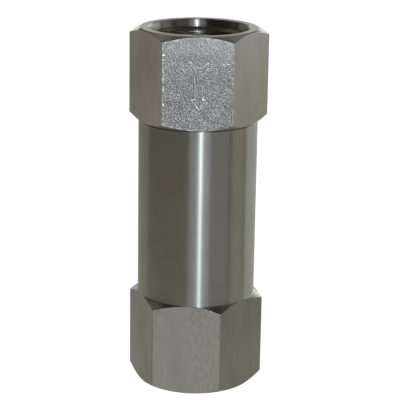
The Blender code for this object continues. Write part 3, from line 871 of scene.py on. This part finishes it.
def roughen_flat(points, outline, sizes):
    """Press the rough skin and the arrow into flat 0, fading out at its two ridges."""
    front = outline.flat == 0
    patch = points[:, front]
    across = patch[..., 0]
    near_plane = smooth(-patch[..., 1], APOTHEM - 0.10 * MM, APOTHEM - 0.02 * MM)
    ragged = 0.16 * MM * value_noise(across, patch[..., 2], 0.35 * MM, seed=6)
    near_ridge = smooth(outline.half - np.abs(across) + ragged, 0.06 * MM, 0.18 * MM)
    depth = np.maximum(grain_relief(across, patch[..., 2], sizes), 0.0) * near_plane * near_ridge
    patch[..., 1] += depth
    points[:, front] = patch
    return points


def flat_faces(finishes, outline, flat, finish):
    """Finish of every face, with one of the flats in a finish of its own."""
    columns = len(outline.flat)
    faces = np.repeat(finishes, columns).reshape(-1, columns)
    on_flat = (outline.flat == flat) & (np.roll(outline.flat, -1) == flat)
    chosen = (faces == SATIN) & on_flat[None, :]
    return np.where(chosen, finish, faces).ravel()


def bright_faces(faces, points, outline, sizes):
    """Give the bright spots of the rough flat, where its skin is worn smooth, a finish of their own whose
    paler colour is painted highlight on burrs and on the arrow's line.

    They lie in broken stretches along the arrow's line, the two upright ridges and the top and
    bottom edges, wherever a noise is high.
    """
    rows, columns = points.shape[:2]
    across, height = points[..., 0], points[..., 2]
    faces = faces.reshape(rows, columns)
    rough = faces == ODD_FLAT
    low = np.where(rough, height, 1.0).min(axis=0)
    high = np.where(rough, height, 0.0).max(axis=0)
    rim = np.minimum(outline.half - np.abs(across), np.minimum(height - low, high - height))
    line = arrow_distance(across, height, sizes)
    broken = value_noise(across, height, 0.9 * MM, seed=8)
    spotty = value_noise(across, height, 0.34 * MM, seed=9)
    # painted highlight: worn spots along the arrow's line and the rim of the flat
    rubbed = ((line < 0.9 * sizes.arrow_line) & (broken > 0.42)) | ((rim < 0.30 * MM) & (spotty > 0.56))
    return np.where(rough & rubbed, RUB_HIGHLIGHT, faces).ravel()


class VALVE_OT_inlet_cap(Operator):
    """Build the inlet hexagon with its port, its rough front flat and its threaded spigot"""

    bl_idname = "valve.inlet_cap"
    bl_label = "Inlet cap"

    def execute(self, context):
        scene = context.scene
        hexagon, port = scene.valve_hexagon, scene.valve_port
        outline = Outline(
            APOTHEM, hexagon.ridge_radius, 0.0, front_columns=100, side_columns=16, ridge_columns=3
        )
        section = Section(outline.directions)
        circle, top = hexagon.chamfer_circle, CAP_HIGH.z
        top_circle = hexagon.inlet_top_circle
        section.ring(top_circle, top, 0.12 * MM, TURNED)
        add_hexagon(
            section,
            outline,
            chamfer_height(outline, top_circle, top, hexagon.inlet_top_drop),
            chamfer_height(outline, circle, CAP_BOTTOM, -hexagon.inlet_lower_rise),
            rows=108,
            reach=hexagon.edge_reach,
        )
        section.add(
            TURNED,
            (circle, CAP_BOTTOM, 0.05 * MM),
            (NECK_RADIUS + 0.4 * MM, CAP_BOTTOM, 0.1 * MM),
            (NECK_RADIUS, CAP_BOTTOM - 0.4 * MM, 0.1 * MM),
            (NECK_RADIUS, CAP_BOTTOM - 1.2 * MM, 0.1 * MM),
        )
        thread_top, thread_bottom = CAP_BOTTOM - 1.5 * MM, CAP_LOW.z + 5.3 * MM
        joint_thread(section, thread_top, thread_bottom, rows=54, clearance=THREAD_CLEARANCE)
        groove_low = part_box("cap_o_ring")[0].z - SEAL_GAP
        groove_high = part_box("cap_backup_ring")[1].z + SEAL_GAP
        port_bottom = top - port.depth
        drill = (port.minor_radius - port.flow_radius) / math.tan(DRILL_POINT)
        section.add(
            TURNED,
            (NOSE_RADIUS, groove_high + 0.9 * MM, 0.1 * MM),
            (NOSE_RADIUS, groove_high, 0.08 * MM),
            (GROOVE_RADIUS, groove_high, 0.12 * MM),
            (GROOVE_RADIUS, groove_low, 0.12 * MM),
            (NOSE_RADIUS, groove_low, 0.08 * MM),
            (NOSE_RADIUS, CAP_LOW.z, 0.15 * MM),
            (port.flow_radius, CAP_LOW.z, 0.15 * MM),
            (port.flow_radius, port_bottom - drill, 0.15 * MM),
        )
        section.ring(port.minor_radius, port_bottom - 0.05 * MM, 0.0, THREAD)
        for radius, height in reversed(port_rings(outline.directions, port, top, -1.0)):
            section.ring(radius, height, 0.0, THREAD if height < top - port.mouth_depth else TURNED)
        section.ring(port.mouth_radius, top, 0.05 * MM, FACED)
        points, finishes = section.rings()
        points = roughen_flat(points, outline, scene.valve_grain)
        faces = bright_faces(flat_faces(finishes, outline, 0, ODD_FLAT), points, outline, scene.valve_grain)
        materials = [get_material(name) for name in CAP_MATERIALS]
        piece = skin("inlet_cap_finished", points, finishes, materials, True, faces)
        finish_piece(piece, "valve_body", "hexagon_steel", "inlet_cap")
        return {"FINISHED"}


def nick_flat(points, outline, turn, top):
    """Small dents and a raised burr along the top edge of the outlet's front flat.

    Each dent is a bell-shaped hollow at a seeded random place; the burr lifts the edge by
    noise along the flat.
    """
    front = outline.flat == 0
    patch = points[:, front]
    normal = np.array([math.sin(turn), -math.cos(turn)])
    along = np.array([math.cos(turn), math.sin(turn)])
    out = patch[..., 0] * normal[0] + patch[..., 1] * normal[1]
    across = patch[..., 0] * along[0] + patch[..., 1] * along[1]
    height = patch[..., 2]
    near_plane = smooth(out, APOTHEM - 0.10 * MM, APOTHEM - 0.02 * MM)
    random = np.random.default_rng(DENT_SEED)
    depth = 0.010 * MM * value_noise(across, height, 0.55 * MM, seed=4)
    for _ in range(DENT_COUNT):
        place_x = random.uniform(-0.75, 0.75) * outline.half
        place_z = top * random.uniform(0.35, 0.85)
        width = random.uniform(0.15, 0.45) * MM
        reach = random.uniform(0.15, 0.55) * MM
        bell = np.exp(-(((across - place_x) / width) ** 2) - ((height - place_z) / reach) ** 2)
        depth = depth + random.uniform(0.01, 0.035) * MM * bell
    depth = depth * near_plane
    patch[..., 0] -= depth * normal[0]
    patch[..., 1] -= depth * normal[1]
    edge = smooth(height, top - 1.1 * MM, top - 0.2 * MM) * near_plane
    burr = value_noise(across, across * 0.0, 0.5 * MM, seed=5) - 0.5
    patch[..., 2] += edge * 0.09 * MM * burr
    points[:, front] = patch
    return points


class VALVE_OT_outlet_body(Operator):
    """Build the barrel and the outlet hexagon with its port and stepped bores"""

    bl_idname = "valve.outlet_body"
    bl_label = "Outlet body"

    def execute(self, context):
        scene = context.scene
        hexagon, port = scene.valve_hexagon, scene.valve_port
        turn = hexagon.outlet_turn
        outline = Outline(
            APOTHEM, hexagon.ridge_radius, turn, front_columns=60, side_columns=18, ridge_columns=3
        )
        section = Section(outline.directions)
        circle, barrel = hexagon.chamfer_circle, hexagon.barrel_radius
        top, hexagon_top = BARREL_TOP, hexagon.outlet_height
        edge = 0.10 * MM
        section.ring(barrel - edge, top, 0.03 * MM, TURNED)
        section.ring(barrel, top - edge, 0.04 * MM, TURNED)
        for height in np.linspace(top - edge, hexagon_top, 26)[1:-1]:
            section.ring(barrel, height, 0.0, TURNED)
        section.ring(barrel, hexagon_top, 0.10 * MM, TURNED)
        add_hexagon(
            section,
            outline,
            chamfer_height(outline, circle, hexagon_top, hexagon.outlet_top_drop),
            chamfer_height(outline, circle, 0.0, -hexagon.outlet_lower_rise),
            rows=60,
            reach=hexagon.edge_reach,
        )
        section.ring(circle, 0.0, 0.12 * MM, FACED)
        section.ring(port.mouth_radius, 0.0, 0.05 * MM, TURNED)
        for radius, height in port_rings(outline.directions, port, 0.0, 1.0):
            section.ring(radius, height, 0.0, THREAD if height > port.mouth_depth else TURNED)
        seat_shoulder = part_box("seat_ring")[0].z - JOINT_GAP
        spider_low, spider_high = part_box("guide_spider")
        spider_shoulder = spider_low.z - JOINT_GAP
        chamber = spider_high.x + JOINT_GAP
        drill = (port.minor_radius - THROAT_RADIUS) / math.tan(DRILL_POINT)
        section.add(
            TURNED,
            (port.minor_radius, port.depth + 0.05 * MM, 0.0),
            (THROAT_RADIUS, port.depth + drill, 0.15 * MM),
            (THROAT_RADIUS, spider_shoulder, 0.10 * MM),
            (chamber, spider_shoulder, 0.15 * MM),
            (chamber, seat_shoulder, 0.10 * MM),
            (SEAL_BORE, seat_shoulder, 0.15 * MM),
            (SEAL_BORE, top - 8.0 * MM, 0.15 * MM),
        )
        joint_thread(section, top - 7.2 * MM, top - 0.8 * MM, rows=60, clearance=0.0)
        section.add(
            TURNED,
            (JOINT_ROOT + 0.2 * MM, top - 0.4 * MM, 0.0),
            (JOINT_ROOT + 0.6 * MM, top, 0.06 * MM),
        )
        points, finishes = section.rings()
        points = nick_flat(points, outline, turn, hexagon_top)
        faces = flat_faces(finishes, outline, 0, ODD_FLAT)
        materials = [get_material(name) for name in BODY_MATERIALS]
        piece = skin("outlet_body_finished", points, finishes, materials, True, faces)
        finish_piece(piece, "valve_body", "turned_steel", "outlet_body")
        return {"FINISHED"}


# ---------------------------------------------------------------------------------------
# Seat and seals
# ---------------------------------------------------------------------------------------


SQUEEZE = 0.08 * MM


def seal_ring(node):
    """An O-ring squeezed in its groove: a round section flattened where it meets both walls.

    The section is x = a cos t, z = b sin t, with x held to the room between the walls.
    """
    low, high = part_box(node)
    middle = (GROOVE_RADIUS + SEAL_BORE) / 2.0
    room = (SEAL_BORE - GROOVE_RADIUS) / 2.0
    radius = room + SQUEEZE
    centre = (low.z + high.z) / 2.0
    profile = []
    for t in np.linspace(0.0, -TAU, 24, endpoint=False):
        reach = min(max(radius * math.cos(t), -room), room)
        profile.append((middle + reach, centre + radius * 0.85 * math.sin(t), 0.0))
    return turned(node, "valve_body", "fluoro_rubber", "valve_rubber", profile, 128)


def arc_plate(node, outer, inner, start, span, material, rise=0.0, columns=120):
    """A flat ring that is cut through, between the heights of its CAD node.

    A rectangle is carried along an arc, with some rise. inner is a radius, or a function of the
    share of the arc.
    """
    low, high = (corner.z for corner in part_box(node))
    t = np.linspace(0.0, 1.0, columns)
    turn = start + span * t
    inner_radius = inner(t) if callable(inner) else np.full(columns, inner)
    outer_radius = np.full(columns, outer)
    lift = rise * (t - 0.5)
    edge = 0.12 * (high - low)
    corners = [
        (outer_radius - edge, low),
        (outer_radius, low + edge),
        (outer_radius, high - edge),
        (outer_radius - edge, high),
        (inner_radius + edge, high),
        (inner_radius, high - edge),
        (inner_radius, low + edge),
        (inner_radius + edge, low),
    ]
    rings = [np.column_stack([r * np.cos(turn), r * np.sin(turn), z + lift]) for r, z in corners]
    return swept(node + "_finished", np.stack(rings, axis=1), [get_material(material)])


class VALVE_OT_seals(Operator):
    """Build the O-rings and back-up rings of the cap and of the seat"""

    bl_idname = "valve.seals"
    bl_label = "Seals"

    def execute(self, context):
        for prefix in ("cap", "seat"):
            seal_ring(prefix + "_o_ring")
            node = prefix + "_backup_ring"
            low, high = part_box(node)
            inner = low.x * -1.0 - 1.1 * MM
            piece = arc_plate(node, high.x, inner, 0.6, TAU - 0.02, "valve_white_ptfe")
            finish_piece(piece, "valve_body", "white_ptfe", node)
        return {"FINISHED"}


class VALVE_OT_seat(Operator):
    """Build the seat ring with its conical seat and the groove for its seals"""

    bl_idname = "valve.seat"
    bl_label = "Seat ring"

    def execute(self, context):
        port = context.scene.valve_port
        low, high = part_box("seat_ring")
        groove_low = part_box("seat_o_ring")[0].z - SEAL_GAP
        groove_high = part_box("seat_backup_ring")[1].z + SEAL_GAP
        outer = high.x + 0.2 * MM
        cone_radius = 7.7 * MM
        cone_top = low.z + 1.7 * MM
        edge = 0.12 * MM
        profile = [
            (outer, high.z, 0.25 * MM),
            (outer, groove_high, edge),
            (GROOVE_RADIUS, groove_high, edge),
            (GROOVE_RADIUS, groove_low, edge),
            (outer, groove_low, edge),
            (outer, low.z, 0.25 * MM),
            (cone_radius, low.z, 0.05 * MM),
            (cone_radius, cone_top - (cone_radius - port.flow_radius), 0.05 * MM),
            (port.flow_radius, cone_top, 0.05 * MM),
            (port.flow_radius, high.z, 0.2 * MM),
        ]
        turned("seat_ring", "valve_body", "ground_steel", "valve_ground", profile, 128)
        return {"FINISHED"}


# ---------------------------------------------------------------------------------------
# Poppet and stem
# ---------------------------------------------------------------------------------------

STEM_BORE = 1.8 * MM
STUD_PITCH = 0.5 * MM


def plain_ring(node, body, inner, edge):
    """A washer-like ring with rounded edges, of the size of its CAD node."""
    low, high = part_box(node)
    corners = ((high.x, high.z), (high.x, low.z), (inner, low.z), (inner, high.z))
    profile = [(radius, height, edge) for radius, height in corners]
    return turned(node, body, "ground_steel", "valve_ground", profile)


class VALVE_OT_poppet(Operator):
    """Build the poppet's disc, soft seal, retainer, lock washer and nut"""

    bl_idname = "valve.poppet"
    bl_label = "Poppet"

    def execute(self, context):
        edge = 0.12 * MM
        low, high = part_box("poppet_disc")
        seal_low, seal_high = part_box("poppet_seal")
        disc_top = seal_low.z - JOINT_GAP
        pilot = 3.4 * MM
        profile = [
            (pilot, high.z, edge),
            (pilot, disc_top, 0.08 * MM),
            (high.x, disc_top, 0.2 * MM),
            (high.x, low.z + 0.4 * MM, 0.1 * MM),
            (high.x - 0.4 * MM, low.z, 0.1 * MM),
            (STEM_BORE, low.z, edge),
            (STEM_BORE, high.z, edge),
        ]
        turned("poppet_disc", "poppet", "ground_steel", "valve_ground", profile)

        nose = 5.8 * MM
        cone_foot = seal_high.z - (seal_high.x - nose)
        profile = [
            (nose, seal_high.z, 0.15 * MM),
            (seal_high.x, cone_foot, 0.25 * MM),
            (seal_high.x, seal_low.z, 0.15 * MM),
            (pilot + JOINT_GAP, seal_low.z, 0.1 * MM),
            (pilot + JOINT_GAP, seal_high.z, 0.1 * MM),
        ]
        turned("poppet_seal", "poppet", "filled_ptfe", "valve_filled_ptfe", profile)

        low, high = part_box("seal_retainer")
        profile = [
            (high.x - 0.4 * MM, high.z, 0.15 * MM),
            (high.x, high.z - 0.4 * MM, 0.15 * MM),
            (high.x, low.z, 0.1 * MM),
            (STEM_BORE, low.z, edge),
            (STEM_BORE, high.z, edge),
        ]
        turned("seal_retainer", "poppet", "ground_steel", "valve_ground", profile)

        outer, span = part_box("lock_washer")[1].x, TAU - 0.16
        piece = arc_plate("lock_washer", outer, STEM_BORE, 0.43, span, "valve_wire", 0.2 * MM, 72)
        finish_piece(piece, "poppet", "spring_steel", "lock_washer")
        self.build_nut()
        return {"FINISHED"}

    def build_nut(self):
        """Hexagon nut with a chamfer at both faces and a threaded bore."""
        low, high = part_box("retainer_nut")
        apothem = 2.75 * MM
        outline = Outline(
            apothem, 0.10 * MM, math.radians(11.0), front_columns=14, side_columns=14, ridge_columns=2
        )
        corner = apothem / math.cos(THIRTY_DEGREES)
        circle, mouth, edge = 2.6 * MM, 1.75 * MM, 0.05 * MM
        drop = (corner - circle) * math.tan(THIRTY_DEGREES)
        share_out = (outline.radius - circle) / (corner - circle)
        section = Section(outline.directions)
        section.add(
            0,
            (circle, high.z, edge),
            (outline.radius, high.z - drop * share_out, edge),
            (outline.radius, low.z + drop * share_out, edge),
            (circle, low.z, edge),
            (mouth, low.z, 0.0),
        )
        for height in np.linspace(low.z + 0.2 * MM, high.z - 0.2 * MM, 34):
            radius = thread_radius(outline.directions, height, STUD_PITCH, 1.54 * MM, 1.74 * MM)
            section.ring(radius, height)
        section.ring(mouth, high.z)
        points, finishes = section.rings()
        piece = skin("retainer_nut_finished", points, finishes, [get_material("valve_wire")])
        finish_piece(piece, "poppet", "spring_steel", "retainer_nut")


class VALVE_OT_stem(Operator):
    """Build the guide stem, and the washer and clip at its foot"""

    bl_idname = "valve.stem"
    bl_label = "Guide stem"

    def execute(self, context):
        low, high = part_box("guide_stem")
        clip_low, clip_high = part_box("stem_clip")
        collar_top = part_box("poppet_disc")[0].z - JOINT_GAP
        collar_bottom = collar_top - 1.6 * MM
        shank, collar, stem = 1.5 * MM, high.x, 2.4 * MM
        groove_high, groove_low = clip_high.z + 0.2 * MM, clip_low.z - 0.2 * MM
        section = Section(circle_directions(64))
        section.ring(shank - 0.35 * MM, high.z, 0.05 * MM)
        for height in np.linspace(high.z - 0.3 * MM, high.z - 5.2 * MM, 84):
            radius = thread_radius(section.directions, height, STUD_PITCH, shank - 0.28 * MM, shank)
            section.ring(radius, height)
        section.add(
            0,
            (shank - 0.05 * MM, high.z - 5.5 * MM, 0.0),
            (shank - 0.05 * MM, collar_top, 0.08 * MM),
            (collar, collar_top, 0.12 * MM),
            (collar, collar_bottom, 0.2 * MM),
            (stem, collar_bottom, 0.2 * MM),
            (stem, groove_high, 0.05 * MM),
            (1.8 * MM, groove_high, 0.05 * MM),
            (1.8 * MM, groove_low, 0.05 * MM),
            (stem, groove_low, 0.05 * MM),
            (stem, low.z + 0.25 * MM, 0.08 * MM),
            (stem - 0.25 * MM, low.z, 0.0),
        )
        points, finishes = section.rings(closed=False)
        ground = get_material("valve_ground")
        piece = skin("guide_stem_finished", points, finishes, [ground], closed=False)
        finish_piece(piece, "poppet", "ground_steel", "guide_stem")
        plain_ring("stem_washer", "poppet", 2.65 * MM, 0.06 * MM)
        self.build_clip(clip_high.x)
        return {"FINISHED"}

    def build_clip(self, outer):
        """E-clip: an open ring whose inner edge carries pads that grip the groove."""

        def inner(t):
            pads = 0.5 + 0.5 * np.cos(TAU * 2.0 * t)
            return 2.75 * MM - 0.75 * MM * smooth(pads, 0.45, 0.8)

        opening = math.radians(62.0)
        start = opening / 2.0 - SIXTY_DEGREES
        piece = arc_plate("stem_clip", outer, inner, start, TAU - opening, "valve_wire", columns=96)
        finish_piece(piece, "poppet", "spring_steel", "stem_clip")


# ---------------------------------------------------------------------------------------
# Spring, spider and bush
# ---------------------------------------------------------------------------------------


STEPS_PER_TURN = 40
WIRE_SIDES = 14
SPRING_WASHER_BORE = 4.5 * MM


class VALVE_OT_spring(Operator):
    """Build the coil spring with ground ends, and the washers above and below it"""

    bl_idname = "valve.spring"
    bl_label = "Spring"

    def execute(self, context):
        low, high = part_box("spring")
        wire = 0.5 * MM
        coil = 5.6 * MM
        turns, end_turns, end_pitch = 6.5, 1.0, 1.06 * MM
        rise = high.z - low.z - wire
        open_pitch = (rise - 2.0 * end_turns * end_pitch) / (turns - 2.0 * end_turns)
        t = np.linspace(0.0, turns, int(turns * STEPS_PER_TURN) + 1)
        ends = np.minimum(t, end_turns) + np.maximum(t - turns + end_turns, 0.0)
        height = low.z + 0.5 * wire + ends * end_pitch + (t - ends) * open_pitch
        turn = TAU * t
        around = np.arange(WIRE_SIDES) / WIRE_SIDES * TAU
        radius = coil + wire * np.cos(around)[None, :]
        z = height[:, None] + wire * np.sin(around)[None, :]
        z = np.clip(z, low.z, high.z)
        x = radius * np.cos(turn)[:, None]
        y = radius * np.sin(turn)[:, None]
        points = np.stack([x, y, z], axis=-1)
        piece = swept("spring_finished", points, [get_material("valve_wire")])
        finish_piece(piece, "valve_body", "spring_steel", "spring")
        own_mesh(piece)
        plain_ring("spring_collar", "poppet", SPRING_WASHER_BORE, 0.1 * MM)
        plain_ring("spring_shim", "valve_body", SPRING_WASHER_BORE, 0.1 * MM)
        return {"FINISHED"}


class VALVE_OT_spider(Operator):
    """Build the guide spider with its three webs, and the bush in its hub"""

    bl_idname = "valve.spider"
    bl_label = "Guide spider"

    def execute(self, context):
        low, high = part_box("guide_spider")
        bush_low, bush_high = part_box("guide_bush")
        plate_top = low.z + 3.0 * MM
        rim, rim_bore, foot, hub = high.x, 7.5 * MM, 4.8 * MM, 4.2 * MM
        bore, counterbore = 3.6 * MM, 3.9 * MM
        counterbore_top = bush_low.z - SEAL_GAP
        web, web_columns, window_columns = 2.0 * MM, 6, 26
        inner_turns, outer_turns, is_window = [], [], []
        for number in range(3):
            middle = TAU * number / 3.0 + 0.5 * math.pi
            offset = np.linspace(-0.5, 0.5, web_columns) * web
            inner_turns.append(middle + np.arcsin(offset / foot))
            outer_turns.append(middle + np.arcsin(offset / rim_bore))
            is_window += [False] * (web_columns - 1) + [True] * window_columns
            share_along = np.arange(1, window_columns) / window_columns
            for turns, radius in ((inner_turns, foot), (outer_turns, rim_bore)):
                edge = math.asin(0.5 * web / radius)
                turns.append(middle + edge + (TAU / 3.0 - 2.0 * edge) * share_along)
        inner_turns = np.concatenate(inner_turns)
        outer_turns = np.concatenate(outer_turns)
        is_window = np.array(is_window)

        def ring(turns, radius, height):
            level = np.full(len(turns), height)
            return np.column_stack([radius * np.cos(turns), radius * np.sin(turns), level])

        edge = 0.2 * MM
        points = np.array(
            [
                ring(outer_turns, rim, plate_top - edge),
                ring(outer_turns, rim, low.z + edge),
                ring(outer_turns, rim - edge, low.z),
                ring(outer_turns, rim_bore, low.z),
                ring(inner_turns, foot, low.z),
                ring(inner_turns, counterbore + edge, low.z),
                ring(inner_turns, counterbore, low.z + edge),
                ring(inner_turns, counterbore, counterbore_top),
                ring(inner_turns, bore, counterbore_top),
                ring(inner_turns, bore, high.z - edge),
                ring(inner_turns, bore + edge, high.z),
                ring(inner_turns, hub - edge, high.z),
                ring(inner_turns, hub, high.z - edge),
                ring(inner_turns, hub, plate_top + edge),
                ring(inner_turns, hub + edge, plate_top),
                ring(inner_turns, foot, plate_top),
                ring(outer_turns, rim_bore, plate_top),
                ring(outer_turns, rim - edge, plate_top),
            ]
        )
        rows, columns = points.shape[:2]
        faces = grid_faces(rows, columns, True, True).reshape(rows, columns, 4)
        lower_rim, lower_foot, upper_foot, upper_rim = 3, 4, 15, 16
        kept = np.ones((rows, columns), bool)
        kept[lower_rim] = ~is_window
        kept[upper_foot] = ~is_window
        faces = faces[kept]
        index = np.arange(rows * columns).reshape(rows, columns)
        following = np.roll(index, -1, axis=1)

        def wall(first, second):
            quads = [index[first], index[second], following[second], following[first]]
            return np.stack(quads, axis=-1)[is_window]

        faces = np.concatenate([faces, wall(upper_foot, lower_foot), wall(lower_rim, upper_rim)])
        starts = np.flatnonzero(is_window & ~np.roll(is_window, 1))
        ends = (np.flatnonzero(is_window & ~np.roll(is_window, -1)) + 1) % columns
        sides = [[index[row, c] for row in (upper_foot, upper_rim, lower_rim, lower_foot)] for c in starts]
        sides += [[index[row, c] for row in (lower_foot, lower_rim, upper_rim, upper_foot)] for c in ends]
        faces = faces.tolist() + [[int(corner) for corner in side] for side in sides]
        materials = [get_material("valve_ground")]
        piece = make_object("guide_spider_finished", points, faces, [0] * len(faces), materials)
        finish_piece(piece, "valve_body", "turned_steel", "guide_spider")

        flange_low = bush_high.z - 0.5 * MM
        sleeve, sleeve_bore = 3.3 * MM, 2.55 * MM
        profile = [
            (bush_high.x, bush_high.z, 0.12 * MM),
            (bush_high.x, flange_low, 0.1 * MM),
            (sleeve, flange_low, 0.1 * MM),
            (sleeve, bush_low.z, 0.1 * MM),
            (sleeve_bore, bush_low.z, 0.1 * MM),
            (sleeve_bore, bush_high.z, 0.12 * MM),
        ]
        turned("guide_bush", "valve_body", "white_ptfe", "valve_white_ptfe", profile)
        return {"FINISHED"}


# ---------------------------------------------------------------------------------------
# Stage
# ---------------------------------------------------------------------------------------


# Soft boxes: azimuth from -Y and elevation in degrees, distance, width and height in metres,
# power in watts, colour
SOFTBOXES = {
    "lamp": (7.0, 20.0, 0.60, (0.022, 0.42), 1.01, (0.81, 0.92, 1.0)),
    "glow_box": (5.0, 9.0, 0.90, (0.62, 0.28), 1.12, (0.72, 0.85, 1.0)),
    "front_box": (36.0, 9.0, 0.90, (0.90, 0.28), 0.62, (0.80, 0.94, 1.0)),
    "left_box": (-130.0, 9.0, 0.90, (0.80, 0.28), 0.48, (0.92, 1.0, 0.82)),
    "right_box": (133.0, 9.0, 0.90, (0.90, 0.28), 1.90, (0.90, 1.0, 0.97)),
    "right_side_box": (85.0, 9.0, 0.90, (0.50, 0.28), 0.46, (1.0, 0.99, 0.77)),
    "back_box": (180.0, 7.0, 0.90, (0.90, 0.22), 0.85, (0.97, 1.0, 0.95)),
    "top_box": (180.0, 58.0, 0.90, (1.20, 0.50), 1.26, (1.0, 0.99, 0.98)),
}


def add_softbox(name, azimuth, elevation, distance, size, power, tint):
    """An area light on a sphere round the valve's middle, facing it."""
    data = bpy.data.lights.new(name, "AREA")
    data.shape = "RECTANGLE"
    data.size, data.size_y = size
    data.energy = power
    data.color = tint
    light = bpy.data.objects.new(name, data)
    bpy.context.scene.collection.objects.link(light)
    centre = Vector((0.0, 0.0, 0.5 * CAP_HIGH.z))
    turn, tilt = math.radians(azimuth - 90.0), math.radians(elevation)
    outward = Vector((math.cos(turn) * math.cos(tilt), math.sin(turn) * math.cos(tilt), math.sin(tilt)))
    light.location = centre + outward * distance
    light.rotation_euler = outward.to_track_quat("Z", "Y").to_euler()
    light.visible_camera = False
    return light


class VALVE_OT_stage(Operator):
    """Add the floor, the light and the camera"""

    bl_idname = "valve.stage"
    bl_label = "Stage"

    def execute(self, context):
        stage = context.scene.valve_stage
        self.build_floor(stage)
        self.build_light(context.scene, stage)
        self.place_camera(context.scene, stage)
        context.scene.view_settings.view_transform = "Standard"
        return {"FINISHED"}

    def build_floor(self, stage):
        """A level floor whose far edge is out of sight. The steel mirrors it in a darker tone: an emitted
        glow with a painted pool of light about the valve.
        """
        side = 3.0
        s = np.linspace(-side, side, 9)
        x, y = np.meshgrid(s, s, indexing="ij")
        points = np.stack([x, y, np.full(x.shape, -0.02 * MM)], axis=-1)
        rows, columns = x.shape
        faces = grid_faces(rows, columns, False, False).tolist()
        made = Finish("stage_floor", 0.0, 0.9)
        made.set("Specular IOR Level", 0.1)
        made.set("Base Color", (0.30, 0.30, 0.30, 1.0))
        tree = made.tree
        place = tree.nodes.new("ShaderNodeTexCoord").outputs["Object"]
        distance = tree.nodes.new("ShaderNodeVectorMath")
        distance.operation = "LENGTH"
        tree.links.new(place, distance.inputs[0])
        # painted pool of light: the glow grows brighter towards the valve
        near = remap(tree, distance.outputs["Value"], stage.pool_radius, 0.0, 0.0, 1.0)
        lit = [sum(pair) for pair in zip(stage.floor_glow, stage.floor_pool)]
        glow = mixed(tree, near, stage.floor_glow, lit)
        seen = tree.nodes.new("ShaderNodeLightPath").outputs["Is Camera Ray"]
        made.link(mixed(tree, seen, glow, stage.floor), "Emission Color")
        made.set("Emission Strength", 1.0)
        floor = make_object("floor", points, faces, [0] * len(faces), [made.material])

    def build_light(self, scene, stage):
        """Pale surroundings, and the soft boxes listed above."""
        world = bpy.data.worlds.new("studio")
        world.use_nodes = True
        tree = world.node_tree
        background = tree.nodes["Background"]
        seen = tree.nodes.new("ShaderNodeLightPath").outputs["Is Camera Ray"]
        tree.links.new(mixed(tree, seen, stage.surroundings, stage.floor), background.inputs["Color"])
        scene.world = world
        for name, settings in SOFTBOXES.items():
            add_softbox(name, *settings)

    def place_camera(self, scene, stage):
        """Camera at its distance and height, aimed beside the axis and rolled a little."""
        turn = stage.camera_azimuth
        side = Vector((math.cos(turn), math.sin(turn), 0.0))
        away = Vector((math.sin(turn), -math.cos(turn), 0.0))
        place = away * stage.camera_distance + Vector((0.0, 0.0, stage.camera_height))
        aim = side * stage.aim_side + Vector((0.0, 0.0, stage.aim_height))
        back = (place - aim).normalized()
        right = Vector((0.0, 0.0, 1.0)).cross(back).normalized()
        up = back.cross(right)
        roll = stage.camera_roll
        rolled_right = right * math.cos(roll) + up * math.sin(roll)
        rolled_up = up * math.cos(roll) - right * math.sin(roll)
        data = bpy.data.cameras.new("camera")
        data.lens = stage.lens
        data.sensor_width = 36.0
        data.clip_end = 20.0
        camera = bpy.data.objects.new("camera", data)
        scene.collection.objects.link(camera)
        axes = Matrix((rolled_right, rolled_up, back)).transposed().to_4x4()
        camera.matrix_world = Matrix.Translation(place) @ axes
        scene.camera = camera


OPERATORS = (
    VALVE_OT_inlet_cap,
    VALVE_OT_outlet_body,
    VALVE_OT_seals,
    VALVE_OT_seat,
    VALVE_OT_poppet,
    VALVE_OT_stem,
    VALVE_OT_spring,
    VALVE_OT_spider,
    VALVE_OT_stage,
)


class VALVE_PT_build(Panel):
    """Lists the valve's pieces and the sizes that can be changed"""

    bl_idname = "VALVE_PT_build"
    bl_label = "Check valve"
    bl_space_type = "VIEW_3D"
    bl_region_type = "UI"
    bl_category = "Check valve"

    def draw(self, context):
        layout = self.layout
        for operator in OPERATORS:
            layout.operator(operator.bl_idname)
        for attribute, group in SETTINGS.items():
            box = layout.box()
            box.label(text=group.__doc__)
            settings = getattr(context.scene, attribute)
            for label in group.__annotations__:
                box.prop(settings, label)


def register():
    """Add the settings, the operators and the panel."""
    for attribute, group in SETTINGS.items():
        bpy.utils.register_class(group)
        setattr(bpy.types.Scene, attribute, PointerProperty(type=group))
    for item in (*OPERATORS, VALVE_PT_build):
        bpy.utils.register_class(item)


def unregister():
    """Take them away again."""
    for item in (VALVE_PT_build, *reversed(OPERATORS)):
        bpy.utils.unregister_class(item)
    for attribute, group in reversed(SETTINGS.items()):
        delattr(bpy.types.Scene, attribute)
        bpy.utils.unregister_class(group)


def main():
    """Register everything, and build every piece and the stage."""
    register()
    for operator in OPERATORS:
        category, name = operator.bl_idname.split(".")
        getattr(getattr(bpy.ops, category), name)()


if __name__ == "__main__":
    main()
